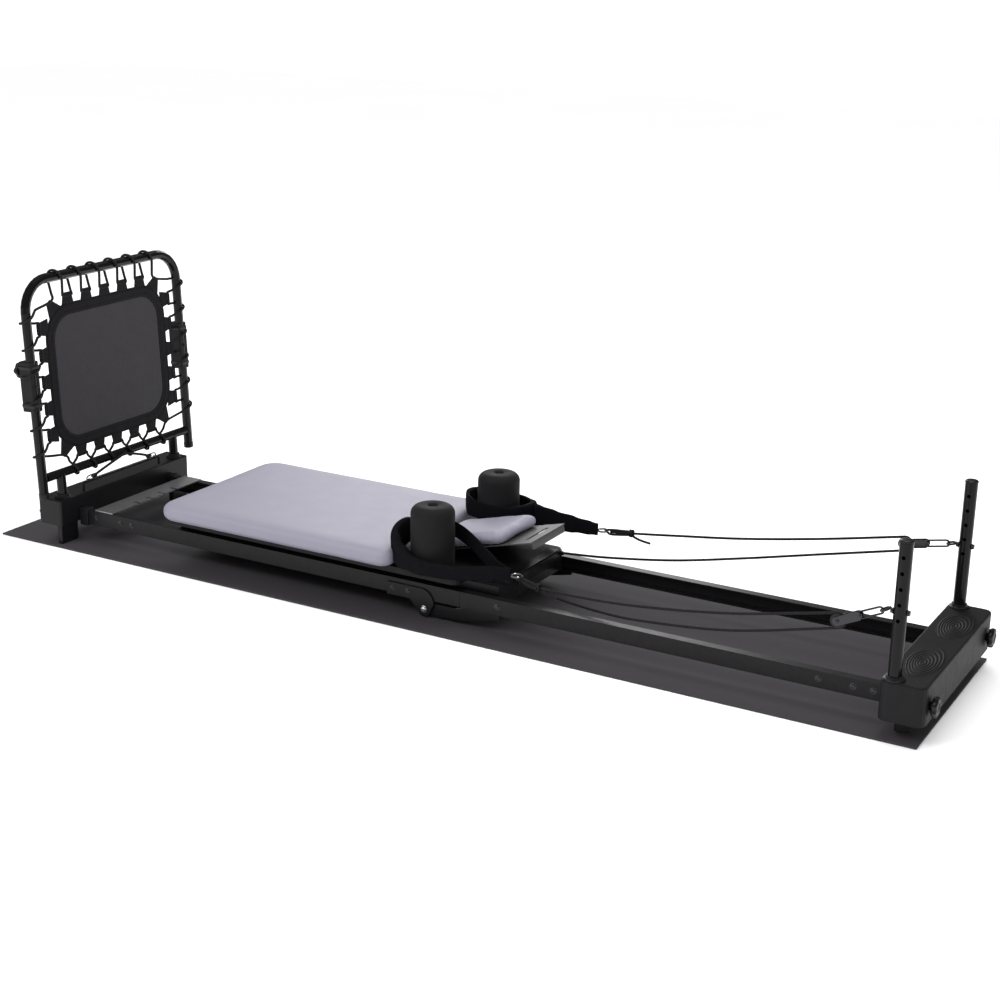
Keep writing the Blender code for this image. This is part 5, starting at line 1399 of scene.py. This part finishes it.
@dataclass
class Carriage:
    """The rolling carriage: pad, rests, straps, deck and headrest."""

    headrest_pivot: Point = (-0.085, 0.0, 0.1275)
    headrest_tilt: float = math.radians(14.0)
    headrest_length: float = 0.205
    headrest_width: float = 0.192
    pad_reach: float = 0.014
    plate_length: float = 0.285
    plate_lip: float = 0.019

    def head_place(self, u: float, v: float, h: float) -> Place:
        """A place on the tilted headrest: u along it, v across it, h above it."""
        c, s = math.cos(self.headrest_tilt), math.sin(self.headrest_tilt)
        x, y, z = self.headrest_pivot
        return Place((x + u * c - h * s, y + v, z + u * s + h * c), (c, 0.0, s), (0.0, 1.0, 0.0))

    def pads(self) -> None:
        """The long pad and the headrest's pad."""
        low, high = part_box("carriage_pad")
        size = high - low
        base = rounded_outline(size.x, size.y, 0.030, 10)
        round_foot = rounded_outline(size.x, size.y, 0.050, 10)
        outline = np.where(base[:, :1] < 0, round_foot, base)
        centre = (low + high) / 2
        Pad("pad_cover", "carriage_pad", "carriage", outline, Place(tuple(centre)), size.z, 0.014, 0.0025,
            0.0040, 0.0062, -size.z / 2).build()
        length, width = self.headrest_length + self.pad_reach, self.headrest_width
        soft = rounded_outline(length, width, 0.030, 10)
        thick = 0.030
        place = self.head_place(length / 2, 0, 0.0033 + thick / 2)
        Pad("headrest_cover", "headrest_pad", "headrest", soft, place,
            thick, 0.012, 0.0015, 0.0035, 0.0045, -thick / 2).build()

    def headrest_steel(self) -> None:
        """The headrest's plate with its slot and folded lip, and the drilled bracket under it."""
        length, half = self.plate_length, self.headrest_width / 2 - 0.012
        a = np.linspace(0, 2 * math.pi, 96, endpoint=False)
        c, s = np.cos(a), np.sin(a)
        slot_w, slot_l = 0.009, 0.108
        slot_x = slot_w / 2 * np.sign(c) * np.abs(c) ** 0.6
        slot_y = slot_l / 2 * np.sign(s) * np.abs(s) ** 0.35
        slot = np.stack([slot_x, slot_y], axis=1)
        tip_start = 0.225
        tip_length = length - tip_start
        reach = np.minimum(tip_length / 2 / np.maximum(np.abs(c), 1e-6), half / np.maximum(np.abs(s), 1e-6))
        outer = np.stack([reach * c, reach * s], axis=1)
        shape = Shape().pierced(outer, slot, 0.003, self.head_place(tip_start + tip_length / 2, 0, 0.0015))
        body = rounded_outline(tip_start - 0.002, 2 * half, 0.008)
        shape.slab(body, 0.003, 0.0006, self.head_place((tip_start + 0.002) / 2, 0, 0.0015))
        lip = self.head_place(length - 0.0015, 0, 0.003 - self.plate_lip / 2)
        face = Place(lip.middle, (0.0, 1.0, 0.0), tuple(np.cross(lip.right, lip.up)))
        shape.slab(rounded_outline(2 * half - 0.010, self.plate_lip, 0.003), 0.003, 0.0008, face)
        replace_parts(shape.piece("headrest_tray", SATIN_PLATE, "headrest"), "headrest_plate")
        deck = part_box("carriage_deck")[1]
        bracket = Shape()
        for k, y in enumerate((-0.094, -0.078, -0.062)):
            reach = np.minimum(0.008 / np.maximum(np.abs(c), 1e-6), 0.0125 / np.maximum(np.abs(s), 1e-6))
            place = Place((deck.x + 0.0022, y, 0.1065), (0.0, 1.0, 0.0), (0.0, 0.0, 1.0))
            bracket.pierced(np.stack([reach * c, reach * s], axis=1), circle(0.0034, 96), 0.003, place)
        place = Place((deck.x + 0.0022, 0.026, 0.1065), (0.0, 1.0, 0.0), (0.0, 0.0, 1.0))
        bracket.slab(rounded_outline(0.160, 0.025, 0.002), 0.003, 0.0006, place)
        top = Place((deck.x - 0.008, 0.0, deck.z + 0.0018), (1.0, 0.0, 0.0), (0.0, 1.0, 0.0))
        bracket.slab(rounded_outline(0.024, 0.204, 0.003), 0.003, 0.0006, top)
        bracket.piece("headrest_bracket", POWDER, "carriage")

    def build(self) -> None:
        """Make every piece of the carriage."""
        repaint(MOULDED, "carriage_deck")
        self.pads()
        self.headrest_steel()
        for side in Side:
            ShoulderRest(side).build()
        near_loop = [
            (0.1880, -0.1735, 0.1500, 0.030, 0.0050), (0.1400, -0.1900, 0.1480, 0.034, 0.0050),
            (0.0700, -0.2090, 0.1400, 0.034, 0.0060), (0.0100, -0.2180, 0.1390, 0.035, 0.0080),
            (-0.0400, -0.2200, 0.1430, 0.040, 0.0130), (-0.0880, -0.2080, 0.1560, 0.056, 0.0210),
            (-0.1130, -0.1830, 0.1750, 0.066, 0.0240), (-0.1110, -0.1500, 0.1930, 0.062, 0.0190),
            (-0.0860, -0.1180, 0.1980, 0.046, 0.0080), (-0.0560, -0.1010, 0.2040, 0.040, 0.0035),
            (-0.0220, -0.0995, 0.2040, 0.038, 0.0030), (0.0150, -0.1050, 0.1990, 0.038, 0.0035),
            (0.0600, -0.1200, 0.1840, 0.038, 0.0045), (0.1100, -0.1420, 0.1640, 0.038, 0.0045),
            (0.1500, -0.1580, 0.1500, 0.034, 0.0050), (0.1880, -0.1715, 0.1450, 0.028, 0.0050)]
        far_loop = [
            (0.0560, 0.1750, 0.1800, 0.052, 0.0180), (0.0250, 0.2020, 0.1800, 0.048, 0.0120),
            (-0.0150, 0.2150, 0.1820, 0.046, 0.0090), (-0.0550, 0.2130, 0.1840, 0.048, 0.0120),
            (-0.0950, 0.1900, 0.1880, 0.054, 0.0170), (-0.1110, 0.1550, 0.1900, 0.056, 0.0170),
            (-0.0960, 0.1190, 0.1880, 0.050, 0.0090), (-0.0600, 0.1020, 0.1840, 0.044, 0.0035),
            (-0.0250, 0.0995, 0.1820, 0.042, 0.0030), (0.0100, 0.1060, 0.1800, 0.044, 0.0040),
            (0.0400, 0.1300, 0.1790, 0.050, 0.0140)]
        far_tail = [(0.0600, 0.1700, 0.1760, 0.056, 0.0160), (0.0950, 0.1700, 0.1705, 0.056, 0.0080),
                    (0.1500, 0.1700, 0.1695, 0.046, 0.0050), (0.2000, 0.1700, 0.1685, 0.037, 0.0050),
                    (0.2370, 0.1700, 0.1680, 0.031, 0.0050)]
        Strap(Side.NEAR, near_loop, []).build()
        Strap(Side.FAR, far_loop, far_tail).build()


ROPE_OUT = {
    Side.NEAR: [(0.2250, -0.1760, 0.1390), (0.2620, -0.1770, 0.1330), (0.3600, -0.1830, 0.1340),
                (0.5200, -0.1960, 0.1480), (0.7400, -0.2150, 0.1840)],
    Side.FAR: [(0.2710, 0.1700, 0.1680), (0.3250, 0.1730, 0.1730), (0.4400, 0.1830, 0.1850),
               (0.6000, 0.1980, 0.2030), (0.7800, 0.2150, 0.2310)],
}
ROPE_BACK = {
    Side.NEAR: [(0.7400, -0.2130, 0.1450), (0.5200, -0.1800, 0.1090), (0.4000, -0.1520, 0.0970),
                (0.2800, -0.1280, 0.0980), (0.1665, -0.1100, 0.1130)],
    Side.FAR: [(0.7800, 0.2130, 0.1940), (0.6000, 0.1930, 0.1560), (0.4400, 0.1650, 0.1290),
               (0.2800, 0.1340, 0.1150), (0.1665, 0.1100, 0.1130)],
}
DROPS = {Side.NEAR: math.radians(25.0), Side.FAR: math.radians(11.0)}


def main() -> None:
    """Load the frame, build each sub-assembly in order and keep the two boxes."""
    logging.basicConfig(level=logging.INFO, format="%(message)s")
    for made in list(bpy.data.objects):
        bpy.data.objects.remove(made, do_unlink=True)
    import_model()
    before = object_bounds()
    Studio().build()
    for side in Side:
        Rope(side, ROPE_OUT[side], ROPE_BACK[side]).build()
        PulleyPost(side, DROPS[side]).build()
    FrameRails().build()
    FootBox().build()
    REBOUNDER.build()
    HeadBlock().build()
    Carriage().build()
    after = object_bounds()
    for axis in range(3):
        side = before[1][axis] - before[0][axis]
        over = max(before[0][axis] - after[0][axis], after[1][axis] - before[1][axis])
        LOG.info("axis %d: %.1f mm past the CAD box, %.1f allowed", axis, over * 1000, side * 30 + 10)


if __name__ == "__main__":
    main()
